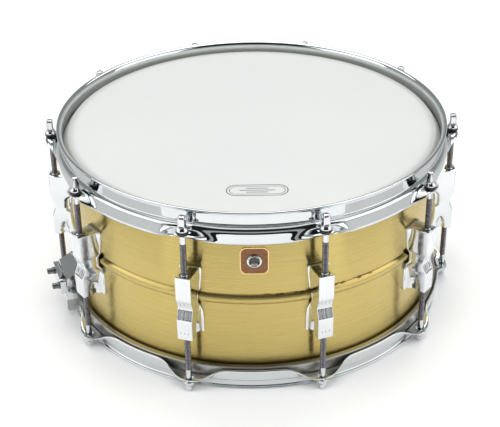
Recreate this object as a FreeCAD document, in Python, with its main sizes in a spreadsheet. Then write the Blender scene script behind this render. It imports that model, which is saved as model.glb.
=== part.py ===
import FreeCAD, Part
import math
import os
import re

import Sketcher
from FreeCAD import Placement, Rotation, Vector

# A 14 x 6.5 inch brass snare drum. Millimetres. The origin is the centre of the plane that the bottom rim
# stands on, +Z is up and the badge faces -Y. An angle round the drum counts from the badge towards +X.
# Pieces that repeat round the drum are drawn with "outwards" along +X and then turned to their angle.

SIZES = {
    # shell
    "shell_radius": 177.0,
    "shell_wall": 1.2,
    "shell_low": 10.0,
    "shell_depth": 165.0,
    "edge_reach": 6.5,
    "edge_drop": 4.2,
    "edge_round": 8.0,
    "bead_rise": 82.5,
    "bead_half": 5.0,
    "bead_bulge": 6.25,
    # rims
    "drum_height": 184.0,
    "rim_wall": 2.3,
    "rim_neck_radius": 180.95,
    "rim_lip_reach": 4.0,
    "rim_skirt_radius": 185.85,
    "rim_ear_radius": 198.3,
    "rim_hole_radius": 4.3,
    "batter_neck": 15.8,
    "batter_skirt": 14.8,
    "batter_ear_drop": 4.0,
    "snare_neck": 10.5,
    "snare_skirt": 12.1,
    "snare_ear_drop": 2.0,
    "ear_flat_angle": 1.8,
    "ear_end_angle": 12.0,
    "ear_fade_power": 5.0,
    # heads
    "film": 0.4,
    "crest_radius": 174.6,
    "collar_radius": 180.2,
    "flesh_inner": 179.0,
    "flesh_outer": 183.8,
    "flesh_tall": 11.0,
    "flesh_groove": 6.5,
    "batter_flesh_top": 165.4,
    "snare_flesh_low": 12.7,
    # tension rods and lugs
    "rod_count": 10.0,
    "rod_circle": 193.0,
    "rod_radius": 2.75,
    "rod_collar_radius": 5.3,
    "rod_key": 6.35,
    "washer_radius": 5.5,
    "washer_thick": 2.4,
    "batter_collar": 3.4,
    "batter_key": 10.6,
    "snare_collar": 2.4,
    "snare_key": 5.3,
    "nut_radius": 4.2,
    "nut_neck_radius": 3.8,
    "nut_bore_radius": 2.8,
    "nut_reach": 17.0,
    "nut_proud": 1.4,
    "lug_low": 59.0,
    "lug_top": 123.5,
    "lug_front": 198.7,
    "lug_dip": 3.6,
    "lug_half_front": 7.0,
    "lug_half_back": 8.6,
    "lug_foot": 2.4,
    "lug_foot_top": 10.5,
    "lug_foot_low": 11.0,
    "lug_waist": 6.6,
    "lug_bore": 4.5,
    "lug_web": 188.0,
    "lug_screw_rise": 17.0,
    "screw_radius": 2.0,
    "screw_head_radius": 4.0,
    # badge and vent
    "vent_rise": 132.5,
    "vent_radius": 5.7,
    "vent_bore": 4.6,
    "badge_wide": 25.0,
    "badge_tall": 27.0,
    "badge_thick": 0.7,
    # snares
    "snare_angle": 108.0,
    "strand_count": 20.0,
    "strand_radius": 0.95,
    "strand_pitch": 2.15,
    "strand_half_length": 147.0,
    "strand_height": 8.5,
    "plate_inner": 140.0,
    "plate_outer": 154.0,
    "plate_thick": 0.8,
    "strap_thick": 0.6,
    "strap_half_wide": 10.0,
    "strap_gap": 0.3,
    "gate_half_wide": 24.0,
    "gate_floor": 3.3,
    # strainer and butt
    "clamp_height": 42.5,
    "clamp_face": 194.0,
    "clamp_thick": 5.6,
    "clamp_half_wide": 19.0,
    "clamp_half_tall": 8.0,
    "clamp_screw_side": 13.75,
    "clamp_screw_radius": 2.9,
    "clamp_screw_end": 207.5,
    "cheek_side": 10.5,
    "cheek_wall": 2.4,
    "cheek_low": 53.0,
    "cheek_top": 86.0,
    "carriage_travel": 3.5,
    "pivot_radius": 190.0,
    "pivot_height": 78.5,
    "pin_radius": 2.0,
    "lever_gap": 0.3,
    "lever_wall": 2.0,
    "lever_top": 136.0,
    "knob_radius": 7.0,
    "knob_low": 91.0,
    "knob_tall": 9.0,
}

document = FreeCAD.newDocument("SnareDrum")
sheet = document.addObject("Spreadsheet::Sheet", "Sizes")
for row, (alias, size) in enumerate(SIZES.items(), start=1):
    sheet.set(f"A{row}", alias)
    sheet.set(f"B{row}", str(size))
    sheet.setAlias(f"B{row}", alias)
document.recompute()

FRONT_ANGLE = 90.0  # the angle round the drum that +X has
ROD_STEP = 36.0
ROD_ANGLES = [18.0 + ROD_STEP * i for i in range(10)]
EPS = 1e-6

STRAINER_SCREWS = ("cheek_low + 7", "knob_low + 9")
BUTT_SCREWS = ("clamp_height - 8", "clamp_height + 10")

subparts = []


def size(expression):
    """The value of an expression over the sheet's cells, each named by its alias alone."""
    names = {alias: float(sheet.get(alias)) for alias in SIZES}
    value = sheet.evalExpression(bound(expression, names))
    return float(value)


def bound(expression, names=SIZES):
    """The same expression with every alias written as a cell of the sheet."""
    return re.sub(r"[A-Za-z_]\w*", lambda word: f"Sizes.{word[0]}" if word[0] in names else word[0], str(expression))


def new_body(label):
    """An empty body that is one sub-part; its label is the name of its file."""
    body = document.addObject("PartDesign::Body", label)
    body.AllowCompound = True
    subparts.append(body)
    return body


def origin_feature(body, role):
    return [item for item in body.Origin.OriginFeatures if item.Role == role][0]


def new_sketch(body, name, role, shift=None):
    """A sketch on one of the body's own planes, shifted in the sketch's own axes by expressions."""
    sketch = body.newObject("Sketcher::SketchObject", name)
    sketch.AttachmentSupport = (origin_feature(body, role), [""])
    sketch.MapMode = "FlatFace"
    for axis, expression in (shift or {}).items():
        sketch.setExpression(f"AttachmentOffset.Base.{axis}", bound(expression))
    return sketch


def hold(sketch, kind, geometry, spot, expression):
    """Bind one coordinate of a point, or one radius, to the sheet."""
    value = size(expression)
    if kind == "Radius":
        index = sketch.addConstraint(Sketcher.Constraint(kind, geometry, value))
    else:
        index = sketch.addConstraint(Sketcher.Constraint(kind, -1, 1, geometry, spot, value))
    sketch.setExpression(f"Constraints[{index}]", bound(expression))


def arc_between(first, second, radius, turn):
    """The shorter arc from one point to the next, anticlockwise when turn is +1, clockwise when -1."""
    chord = second - first
    away = math.sqrt(max(radius * radius - chord.Length * chord.Length / 4, EPS))
    side = Vector(-chord.y, chord.x, 0).normalize()
    centre = (first + second) / 2 + side * away * turn
    start, end = (first, second) if turn > 0 else (second, first)
    angles = [math.atan2(spot.y - centre.y, spot.x - centre.x) for spot in (start, end)]
    return Part.ArcOfCircle(Part.Circle(centre, Vector(0, 0, 1), radius), angles[0], angles[1])


def outline(sketch, corners):
    """A closed outline. A corner is (x, y), or (x, y, radius, turn) when an arc leads on from it."""
    spots = [Vector(size(corner[0]), size(corner[1]), 0) for corner in corners]
    starts = []
    first = len(sketch.Geometry)
    for index, corner in enumerate(corners):
        here, there = spots[index], spots[(index + 1) % len(spots)]
        if len(corner) == 2:
            sketch.addGeometry(Part.LineSegment(here, there), False)
            starts.append((1, 2))
        else:
            sketch.addGeometry(arc_between(here, there, size(corner[2]), corner[3]), False)
            starts.append((1, 2) if corner[3] > 0 else (2, 1))
    for index, corner in enumerate(corners):
        following = (index + 1) % len(corners)
        joint = (first + index, starts[index][1], first + following, starts[following][0])
        sketch.addConstraint(Sketcher.Constraint("Coincident", *joint))
        hold(sketch, "DistanceX", first + index, starts[index][0], corner[0])
        hold(sketch, "DistanceY", first + index, starts[index][0], corner[1])
        if len(corner) > 2:
            hold(sketch, "Radius", first + index, 0, corner[2])


def circle(sketch, x, y, radius):
    index = len(sketch.Geometry)
    spot = Vector(size(x), size(y), 0)
    sketch.addGeometry(Part.Circle(spot, Vector(0, 0, 1), size(radius)), False)
    hold(sketch, "DistanceX", index, 3, x)
    hold(sketch, "DistanceY", index, 3, y)
    hold(sketch, "Radius", index, 0, radius)


def box_corners(x0, x1, y0, y1):
    return [(x0, y0), (x1, y0), (x1, y1), (x0, y1)]


def feature(body, kind, name, sketch, **settings):
    """One PartDesign feature made from a sketch; text settings are expressions over the sheet."""
    made = body.newObject(f"PartDesign::{kind}", name)
    made.Profile = sketch
    for setting, value in settings.items():
        if isinstance(value, str) and setting.startswith("Length"):
            made.setExpression(setting, bound(value))
        else:
            setattr(made, setting, value)
    sketch.Visibility = False
    return made


def turned(body, name, corners, axis="V_Axis", shift=None, kind="Revolution"):
    """A full turn of an outline drawn in the XZ plane, about the sketch's vertical or horizontal axis."""
    sketch = new_sketch(body, f"{name}_outline", "XZ_Plane", shift)
    outline(sketch, corners)
    return feature(body, kind, name, sketch, ReferenceAxis=(sketch, [axis]), Angle=360.0)


def around(body, name, originals, count="rod_count"):
    """Repeat features evenly round the drum's axis."""
    document.recompute()
    pattern = body.newObject("PartDesign::PolarPattern", name)
    pattern.Originals = originals
    pattern.Axis = (origin_feature(body, "Z_Axis"), [""])
    pattern.Angle = 360.0
    pattern.Occurrences = int(size(count))
    pattern.setExpression("Occurrences", bound(count))
    body.Tip = pattern
    return pattern


def turn_to(subpart, angle):
    """Turn a piece that was drawn pointing along +X to its angle round the drum."""
    subpart.Placement = Placement(Vector(0, 0, 0), Rotation(Vector(0, 0, 1), angle - FRONT_ANGLE))


def cut(body, name, sketch, forward, **settings):
    """A pocket whose direction is stated: forward runs along the sketch's normal."""
    return feature(body, "Pocket", name, sketch, Reversed=forward, **settings)


# ---------------------------------------------------------------- shell


def make_shell():
    """A spun brass wall with one raised bead and both edges flanged inwards at about 45 degrees."""
    body = new_body("shell")
    low, top = "shell_low", "(shell_low + shell_depth)"
    inner = "(shell_radius - shell_wall)"
    turned(body, "wall", [
        ("shell_radius", f"{low} + edge_drop"),
        ("shell_radius", f"{low} + bead_rise - bead_half", "bead_bulge", 1),
        ("shell_radius", f"{low} + bead_rise + bead_half"),
        ("shell_radius", f"{top} - edge_drop", "edge_round", 1),
        ("crest_radius", top),
        ("crest_radius - edge_reach", f"{top} - edge_reach"),
        ("crest_radius - edge_reach + 0.85", f"{top} - edge_reach - 0.85"),
        ("crest_radius - 0.2", f"{top} - 1.9"),
        (inner, f"{top} - edge_drop - 0.4"),
        (inner, f"{low} + bead_rise + bead_half", "bead_bulge", -1),
        (inner, f"{low} + bead_rise - bead_half"),
        (inner, f"{low} + edge_drop + 0.4"),
        ("crest_radius - 0.2", f"{low} + 1.9"),
        ("crest_radius - edge_reach + 0.85", f"{low} + edge_reach + 0.85"),
        ("crest_radius - edge_reach", f"{low} + edge_reach"),
        ("crest_radius", low, "edge_round", 1),
    ])
    holes = new_sketch(body, "lug_hole_outline", "YZ_Plane")
    for side in ("-", "+"):
        circle(holes, "0", f"(lug_low + lug_top) / 2 {side} lug_screw_rise", "screw_radius + 0.4")
    lug_holes = cut(body, "lug_holes", holes, True, Type="ThroughAll")
    around(body, "all_lug_holes", [lug_holes])
    for name, heights, forward in (("strainer", STRAINER_SCREWS, True), ("butt", BUTT_SCREWS, False)):
        fitting = new_sketch(body, f"{name}_hole_outline", "YZ_Plane")
        turn = Rotation(Vector(0, 1, 0), size("snare_angle") - FRONT_ANGLE)
        fitting.AttachmentOffset = Placement(Vector(0, 0, 0), turn)
        for height in heights:
            circle(fitting, "0", height, "screw_radius + 0.4")
        cut(body, f"{name}_holes", fitting, forward, Type="ThroughAll")
    vent = new_sketch(body, "vent_outline", "XZ_Plane")
    circle(vent, "0", "vent_rise", "vent_radius")
    document.recompute()
    cut(body, "vent_hole", vent, True, Type="ThroughAll")


def make_badge():
    """A plain rounded plate, bent to the shell, with the vent through it."""
    body = new_body("badge")
    sketch = new_sketch(body, "badge_outline", "YZ_Plane")
    corner = 6.0
    wide, tall = "badge_wide / 2", "badge_tall / 2"
    outline(sketch, [
        (f"-{wide}", f"vent_rise - {tall} + {corner}", f"{corner}", 1),
        (f"-{wide} + {corner}", f"vent_rise - {tall}"),
        (f"{wide} - {corner}", f"vent_rise - {tall}", f"{corner}", 1),
        (wide, f"vent_rise - {tall} + {corner}"),
        (wide, f"vent_rise + {tall} - {corner}", f"{corner}", 1),
        (f"{wide} - {corner}", f"vent_rise + {tall}"),
        (f"-{wide} + {corner}", f"vent_rise + {tall}", f"{corner}", 1),
        (f"-{wide}", f"vent_rise + {tall} - {corner}"),
    ])
    circle(sketch, "0", "vent_rise", "vent_radius + 0.2")
    feature(body, "Pad", "plate", sketch, Length="shell_radius + 4")
    saddle = new_sketch(body, "saddle_outline", "XY_Plane")
    circle(saddle, "0", "0", "shell_radius + 0.05")
    cut(body, "saddle", saddle, True, Type="ThroughAll", Midplane=True)
    turned(body, "face", box_corners(
        "shell_radius + badge_thick", "shell_radius + 8", "vent_rise - badge_tall", "vent_rise + badge_tall",
    ), kind="Groove")
    document.recompute()
    turn_to(body, 0.0)


def make_vent_grommet():
    """A chrome eyelet through the badge and the shell, rolled over on both sides."""
    body = new_body("vent_grommet")
    out = "(shell_radius + badge_thick)"
    turned(body, "eyelet", [
        ("shell_radius - shell_wall - 1.2", "vent_bore"),
        (f"{out} + 1.3", "vent_bore"),
        (f"{out} + 1.3", "vent_bore + 0.6", "1.4", 1),
        (f"{out} + 0.05", "vent_radius + 0.9"),
        (f"{out} + 0.05", "vent_radius - 0.1"),
        ("shell_radius - shell_wall - 0.3", "vent_radius - 0.1"),
        ("shell_radius - shell_wall - 0.3", "vent_radius + 1"),
        ("shell_radius - shell_wall - 1.2", "vent_radius + 1"),
    ], axis="H_Axis", shift={"y": "vent_rise"})
    turn_to(body, 0.0)


# ---------------------------------------------------------------- lugs


def make_lug_casing(index, angle):
    """A cast casing: a column with a dipped, ribbed front on a waisted foot that bridges the bead."""
    body = new_body(f"lug_casing_{index:02d}")
    middle = "(lug_low + lug_top) / 2"
    back = "shell_radius - 2"
    side = new_sketch(body, "side_outline", "XZ_Plane")
    outline(side, [
        (back, "lug_low"),
        ("lug_front - 0.3", "lug_low"),
        ("lug_front", "lug_low + 20.5"),
        ("lug_front - lug_dip", "lug_low + 29.5"),
        ("lug_front", "lug_low + 42.5"),
        ("lug_front", "lug_top"),
        (back, "lug_top"),
    ])
    feature(body, "Pad", "column", side, Length="2 * lug_half_back", Midplane=True)
    flanks = new_sketch(body, "flank_outline", "XY_Plane")
    for turn in ("", "-"):
        outline(flanks, [
            (back, f"{turn}(lug_half_back + 0.01)"),
            ("lug_front + 2", f"{turn}(lug_half_front - 0.15)"),
            ("lug_front + 2", f"{turn}(lug_half_back + 2)"),
            (back, f"{turn}(lug_half_back + 2)"),
        ])
    cut(body, "flanks", flanks, True, Type="ThroughAll", Midplane=True)
    foot = new_sketch(body, "foot_outline", "YZ_Plane", {"z": back})
    outline(foot, [
        ("-lug_foot_low + 2", "lug_low - 2"),
        ("lug_foot_low - 2", "lug_low - 2", "2", 1),
        ("lug_foot_low", "lug_low"),
        ("lug_foot_low - 0.6", f"{middle} - 8"),
        ("lug_waist", f"{middle} - 3.5"),
        ("lug_waist + 1.6", f"{middle} + 6"),
        ("lug_foot_top", "lug_top - 1.5", "2", 1),
        ("lug_foot_top - 2", "lug_top + 0.5"),
        ("-lug_foot_top + 2", "lug_top + 0.5", "2", 1),
        ("-lug_foot_top", "lug_top - 1.5"),
        ("-lug_waist - 1.6", f"{middle} + 6"),
        ("-lug_waist", f"{middle} - 3.5"),
        ("-lug_foot_low + 0.6", f"{middle} - 8"),
        ("-lug_foot_low", "lug_low", "2", 1),
    ])
    feature(body, "Pad", "foot", foot, Length="2 + lug_foot")
    saddle = new_sketch(body, "saddle_outline", "XY_Plane")
    circle(saddle, "0", "0", "shell_radius + 0.1")
    cut(body, "saddle", saddle, True, Type="ThroughAll", Midplane=True)
    turned(body, "bead_arch", box_corners(
        "shell_radius - 5", "shell_radius + 3.4",
        "shell_low + bead_rise - bead_half - 2", "shell_low + bead_rise + bead_half + 2",
    ), kind="Groove")
    for end, forward, start in (("top", False, "lug_top + 1"), ("low", True, "lug_low - 1")):
        bore = new_sketch(body, f"{end}_bore_outline", "XY_Plane", {"z": start})
        circle(bore, "rod_circle", "0", "lug_bore")
        cut(body, f"{end}_bore", bore, forward, Length="nut_reach + 2")
    hollow = new_sketch(body, "hollow_outline", "YZ_Plane", {"z": back})
    for low, top in ((f"{middle} - 12", f"{middle} + 12"),
                     ("lug_low + 2", f"{middle} - lug_screw_rise - 4.5"),
                     (f"{middle} + lug_screw_rise + 4.5", "lug_top - 2")):
        outline(hollow, box_corners("-lug_waist + 1.6", "lug_waist - 1.6", low, top))
    cut(body, "hollow", hollow, True, Length="lug_web - shell_radius")
    holes = new_sketch(body, "screw_hole_outline", "YZ_Plane", {"z": back})
    for sign in ("-", "+"):
        circle(holes, "0", f"{middle} {sign} lug_screw_rise", "screw_radius + 0.05")
    cut(body, "screw_holes", holes, True, Length="10.5")
    ribs = new_sketch(body, "rib_outline", "YZ_Plane", {"z": "lug_front + 1"})
    for step in range(4):
        across = f"(-lug_half_front + 2 + {step} * (2 * lug_half_front - 4) / 3)"
        outline(ribs, box_corners(f"{across} - 0.55", f"{across} + 0.55", "lug_low + 20", "lug_low + 29.5"))
    cut(body, "ribs", ribs, False, Length="lug_dip + 1.2")
    document.recompute()
    turn_to(body, angle)


def make_swivel_nuts():
    """Two threaded nuts in every lug, one for each rod, with a short neck standing proud."""
    body = new_body("swivel_nuts")
    nuts = []
    for name, edge, way in (("top", "lug_top", "-"), ("low", "lug_low", "+")):
        back = "+" if way == "-" else "-"
        nuts.append(turned(body, f"{name}_nut", [
            ("nut_bore_radius", f"{edge} {way} nut_reach"),
            ("nut_radius", f"{edge} {way} nut_reach"),
            ("nut_radius", f"{edge} {way} 1.5"),
            ("nut_neck_radius", f"{edge} {way} 1"),
            ("nut_neck_radius", f"{edge} {back} nut_proud"),
            ("nut_bore_radius", f"{edge} {back} nut_proud"),
        ], shift={"x": "rod_circle"}))
    around(body, "all_nuts", nuts)


def make_lug_screws():
    """Two pan-head screws hold each casing from inside the shell."""
    body = new_body("lug_screws")
    inside = "(shell_radius - shell_wall - 1.3)"
    screws = []
    for name, sign in (("low", "-"), ("top", "+")):
        screws.append(turned(body, f"{name}_screw", [
            (f"{inside} - 2.6", "0"),
            ("shell_radius + 7", "0"),
            ("shell_radius + 7", "screw_radius"),
            (inside, "screw_radius"),
            (inside, "screw_head_radius"),
            (f"{inside} - 1.6", "screw_head_radius", "3.4", 1),
            (f"{inside} - 2.6", "screw_head_radius - 1.6"),
        ], axis="H_Axis", shift={"y": f"(lug_low + lug_top) / 2 {sign} lug_screw_rise"}))
    around(body, "all_screws", screws)


def make_lug_washers():
    """A flat washer under the head of every lug screw."""
    body = new_body("lug_screw_washers")
    inside = "(shell_radius - shell_wall - 0.25)"
    washers = []
    for name, sign in (("low", "-"), ("top", "+")):
        washers.append(turned(body, f"{name}_washer", [
            (f"{inside} - 1", "screw_radius + 0.2"),
            (inside, "screw_radius + 0.2"),
            (inside, "screw_head_radius + 1"),
            (f"{inside} - 1", "screw_head_radius + 1"),
        ], axis="H_Axis", shift={"y": f"(lug_low + lug_top) / 2 {sign} lug_screw_rise"}))
    around(body, "all_washers", washers)


# ---------------------------------------------------------------- rods

BATTER_EAR_TOP = "(drum_height - batter_neck - batter_ear_drop + rim_wall / 2 + 0.05)"
SNARE_EAR_LOW = "(snare_neck + snare_ear_drop - rim_wall / 2 - 0.12)"


def make_rod(name, angle, seat, way, collar, key, tip):
    """One tension rod: a threaded shank, a collar that bears on the washer and a square key head."""
    body = new_body(name)
    turned(body, "shank", [
        ("0", tip),
        ("rod_radius - 0.6", tip),
        ("rod_radius", f"{tip} {way} 0.6"),
        ("rod_radius", seat),
        ("rod_collar_radius", seat),
        ("rod_collar_radius", f"{seat} {way} {collar} * 0.45"),
        ("rod_key / 2 + 0.6", f"{seat} {way} {collar}"),
        ("0", f"{seat} {way} {collar}"),
    ], shift={"x": "rod_circle"})
    square = new_sketch(body, "key_outline", "XY_Plane", {"z": f"{seat} {way} {collar}"})
    low, high = "-rod_key / 2", "rod_key / 2"
    outline(square, box_corners(f"rod_circle {low}", f"rod_circle + {high}", low, high))
    feature(body, "Pad", "key", square, Length=key, Reversed=way == "-")
    turn_to(body, angle)


def make_rods():
    for index, angle in enumerate(ROD_ANGLES, start=1):
        make_rod(f"tension_rod_top_{index:02d}", angle, f"({BATTER_EAR_TOP} + washer_thick)", "+",
                 "batter_collar", "batter_key", "(lug_top - nut_reach + 1)")
    for index, angle in enumerate(ROD_ANGLES, start=1):
        make_rod(f"tension_rod_bottom_{index:02d}", angle, f"({SNARE_EAR_LOW} - washer_thick)", "-",
                 "snare_collar", "snare_key", "(lug_low + nut_reach - 1)")


def make_rod_washers(name, low):
    """Ten washers between the rim's ears and the rods' collars."""
    body = new_body(name)
    washer = turned(body, "washer", box_corners(
        "rod_radius + 0.3", "washer_radius", low, f"{low} + washer_thick",
    ), shift={"x": "rod_circle"})
    around(body, "all_washers", [washer])


# ---------------------------------------------------------------- rims


def flare(angle):
    """How far the rim's skirt is bent out at this angle: 1 at an ear, fading to 0 between the ears."""
    off = abs((angle + ROD_STEP) % ROD_STEP - ROD_STEP / 2)
    share = (off - size("ear_flat_angle")) / (size("ear_end_angle") - size("ear_flat_angle"))
    share = min(max(share, 0.0), 1.0)
    return (1.0 - share ** 2) ** size("ear_fade_power")


def rim_wall_line(neck, skirt, ear_drop, bend):
    """The middle of the rim's wall as (radius, depth below the lip): lip, neck, step and skirt."""
    neck_r, skirt_r, ear_r = size("rim_neck_radius"), size("rim_skirt_radius"), size("rim_ear_radius")
    lip_r = neck_r + size("rim_lip_reach")
    upper = [
        (lip_r, 1.0),
        (lip_r - 1.3, 0.95),
        (neck_r + 1.25, 1.4),
        (neck_r + 0.25, 2.8),
        (neck_r, 4.8),
        (neck_r, (neck + 1.8) / 2),
        (neck_r, neck - 3.2),
        (neck_r + 0.3, neck - 1.4),
        (neck_r + 1.35, neck - 0.5),
        (neck_r + 2.65, neck),
    ]
    hanging = [
        (skirt_r - 0.65, neck + 0.9),
        (skirt_r, neck + 2.7),
        (skirt_r, neck + 0.45 * skirt),
        (skirt_r, neck + 0.75 * skirt),
        (skirt_r, neck + skirt),
    ]
    ear = [
        (skirt_r - 1.1, neck + 1.4),
        (skirt_r - 0.2, neck + ear_drop - 0.6),
        (skirt_r + 1.3, neck + ear_drop),
        ((skirt_r + ear_r) / 2, neck + ear_drop),
        (ear_r, neck + ear_drop),
    ]
    lower = []
    for (plain_r, plain_d), (ear_point_r, ear_d) in zip(hanging, ear):
        lower.append((plain_r + (ear_point_r - plain_r) * bend, plain_d + (ear_d - plain_d) * bend))
    return upper + lower


def rim_section(neck, skirt, ear_drop, bend):
    """The rim's closed section at one angle: its wall line thickened to both sides."""
    line = rim_wall_line(neck, skirt, ear_drop, bend)
    half = size("rim_wall") / 2
    outer, inner = [], []
    for index, (radius, depth) in enumerate(line):
        before, after = line[max(index - 1, 0)], line[min(index + 1, len(line) - 1)]
        along = (after[0] - before[0], after[1] - before[1])
        length = math.hypot(*along)
        across = (along[1] / length * half, -along[0] / length * half)
        outer.append((radius + across[0], depth + across[1]))
        inner.append((radius - across[0], depth - across[1]))
    return outer + inner[::-1]


def rim_solid(neck, skirt, ear_drop, lip_height, way):
    """A closed surface through the rim's sections all round the drum, with a hole in every ear."""
    poles = []
    for step in range(180):
        angle = step * 2.0
        out = Vector(math.sin(math.radians(angle)), -math.cos(math.radians(angle)), 0)
        section = rim_section(neck, skirt, ear_drop, flare(angle))
        poles.append([out * radius + Vector(0, 0, lip_height + way * depth) for radius, depth in section])
    turns, rounds = len(poles), len(poles[0])
    surface = Part.BSplineSurface()
    surface.buildFromPolesMultsKnots(
        poles, [1] * (turns + 1), [1] * (rounds + 1), list(range(turns + 1)), list(range(rounds + 1)),
        True, True, 3, 3,
    )
    solid = Part.Solid(Part.Shell([surface.toShape()]))
    if solid.Volume < 0:
        solid.reverse()
    ear_height = lip_height + way * (neck + ear_drop)
    drills = []
    for angle in ROD_ANGLES:
        out = Vector(math.sin(math.radians(angle)), -math.cos(math.radians(angle)), 0)
        foot = out * size("rod_circle") + Vector(0, 0, ear_height - 6)
        drills.append(Part.makeCylinder(size("rim_hole_radius"), 12, foot))
    return solid.cut(Part.makeCompound(drills))


def new_feature(label, shape):
    """A sub-part whose shape is worked out by formula."""
    made = document.addObject("Part::Feature", label)
    made.Shape = shape
    made.Placement = Placement()
    subparts.append(made)


def make_batter_rim():
    """The upper rim, flat along the top of its lip."""
    height = size("drum_height")
    solid = rim_solid(size("batter_neck"), size("batter_skirt"), size("batter_ear_drop"), height, -1)
    new_feature("batter_rim", solid.common(Part.makeBox(500, 500, height, Vector(-250, -250, 0))))


def make_snare_rim():
    """The lower rim: it stands on its lip, and two gates let the snare straps through."""
    height = size("drum_height")
    solid = rim_solid(size("snare_neck"), size("snare_skirt"), size("snare_ear_drop"), 0.0, 1)
    solid = solid.common(Part.makeBox(500, 500, height, Vector(-250, -250, 0)))
    half, floor = size("gate_half_wide"), size("gate_floor")
    for angle in (size("snare_angle"), size("snare_angle") + 180):
        gate = Part.makeBox(30, 2 * half, 40, Vector(172, -half, floor))
        gate.Placement = Placement(Vector(0, 0, 0), Rotation(Vector(0, 0, 1), angle - FRONT_ANGLE))
        solid = solid.cut(gate)
    new_feature("snare_rim", solid)


# ---------------------------------------------------------------- heads


def make_head(name, edge, way, seat, tip):
    """A drum head: a flat film over the bearing edge, with a collar glued into its flesh hoop."""
    body = new_body(name)
    turned(body, "skin", [
        ("0", edge),
        ("crest_radius + 0.3", edge),
        ("collar_radius", seat),
        ("collar_radius", tip),
        ("collar_radius + film", tip),
        ("collar_radius + film", f"{seat} {way} film * 0.7"),
        ("crest_radius + 0.3 + film * 0.4", f"{edge} {way} film"),
        ("0", f"{edge} {way} film"),
    ])


def make_flesh_hoop(name, mouth, way):
    """The aluminium channel that grips a head's edge; its groove opens towards the rim."""
    body = new_body(name)
    groove_in, groove_out = "collar_radius - 0.02", "collar_radius + film + 0.02"
    turned(body, "channel", [
        ("flesh_inner", f"{mouth} {way} flesh_tall"),
        ("flesh_outer", f"{mouth} {way} flesh_tall"),
        ("flesh_outer", mouth),
        (groove_out, mouth),
        (groove_out, f"{mouth} {way} flesh_groove"),
        (groove_in, f"{mouth} {way} flesh_groove"),
        (groove_in, mouth),
        ("flesh_inner", mouth),
    ])


def make_heads():
    make_head("batter_head", "(shell_low + shell_depth)", "+", "(batter_flesh_top + 2.3)",
              "(batter_flesh_top - flesh_groove + 0.3)")
    make_flesh_hoop("batter_flesh_hoop", "batter_flesh_top", "-")
    make_head("snare_head", "shell_low", "-", "(snare_flesh_low - 0.1)",
              "(snare_flesh_low + flesh_groove - 0.3)")
    make_flesh_hoop("snare_flesh_hoop", "snare_flesh_low", "+")


# ---------------------------------------------------------------- snares


def make_snare_wires():
    """Twenty strands side by side, each a straight rod as thick as the real coil."""
    body = new_body("snare_wires")
    sketch = new_sketch(body, "strand_outline", "YZ_Plane", {"z": "-strand_half_length"})
    for step in range(int(size("strand_count"))):
        across = f"({step} - (strand_count - 1) / 2) * strand_pitch"
        circle(sketch, across, "strand_height", "strand_radius")
    feature(body, "Pad", "strands", sketch, Length="2 * strand_half_length")
    turn_to(body, size("snare_angle"))


PLATE_TOP = "(strand_height - strand_radius)"
STRAP_TOP = f"({PLATE_TOP} - plate_thick - strap_gap)"


def make_end_plates():
    """A thin plate under the strands at each end; the strap is fixed to it."""
    body = new_body("snare_end_plates")
    sketch = new_sketch(body, "plate_outline", "XZ_Plane")
    for sign in ("", "-"):
        outline(sketch, box_corners(
            f"{sign}plate_inner", f"{sign}plate_outer", f"{PLATE_TOP} - plate_thick", PLATE_TOP,
        ))
    feature(body, "Pad", "plates", sketch, Length="(strand_count + 0.4) * strand_pitch", Midplane=True)
    turn_to(body, size("snare_angle"))


def make_strap(name, angle, top):
    """A flexible strap: level under the head, out through the gate, then up into the clamp."""
    body = new_body(name)
    sketch = new_sketch(body, "strap_outline", "XZ_Plane")
    bend, wall = 4.0, "strap_thick"
    outline(sketch, [
        ("plate_inner + 5", STRAP_TOP),
        ("plate_inner + 5", f"{STRAP_TOP} - {wall}"),
        ("shell_radius - 4", f"{STRAP_TOP} - {wall} + 0.8"),
        (f"clamp_face + {wall} - {bend}", f"{STRAP_TOP} - {wall} + 1.2", f"{bend}", 1),
        (f"clamp_face + {wall}", f"{STRAP_TOP} - {wall} + 1.2 + {bend}"),
        (f"clamp_face + {wall}", top),
        ("clamp_face", top),
        ("clamp_face", f"{STRAP_TOP} - {wall} + 1.2 + {bend}", f"{bend} - {wall}", -1),
        (f"clamp_face + {wall} - {bend}", f"{STRAP_TOP} + 1.2"),
        ("shell_radius - 4", f"{STRAP_TOP} + 0.8"),
    ])
    feature(body, "Pad", "strap", sketch, Length="2 * strap_half_wide", Midplane=True)
    turn_to(body, angle)


# ---------------------------------------------------------------- clamps


def make_clamp(name, angle):
    """The clamp plate that presses a strap flat, with a clearance hole for each of its two screws."""
    body = new_body(name)
    sketch = new_sketch(body, "clamp_outline", "YZ_Plane", {"z": "clamp_face + strap_thick + 0.1"})
    wide, corner = "clamp_half_wide", 3.0
    low, top = "clamp_height - clamp_half_tall", "clamp_height + clamp_half_tall"
    outline(sketch, [
        (f"-{wide} + {corner}", low),
        (f"{wide} - {corner}", low, f"{corner}", 1),
        (wide, f"{low} + {corner}"),
        (wide, f"{top} - {corner}", f"{corner}", 1),
        (f"{wide} - {corner}", top),
        (f"-{wide} + {corner}", top, f"{corner}", 1),
        (f"-{wide}", f"{top} - {corner}"),
        (f"-{wide}", f"{low} + {corner}", f"{corner}", 1),
    ])
    for sign in ("-", ""):
        circle(sketch, f"{sign}clamp_screw_side", "clamp_height", "2.3")
    feature(body, "Pad", "plate", sketch, Length="clamp_thick")
    turn_to(body, angle)


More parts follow.
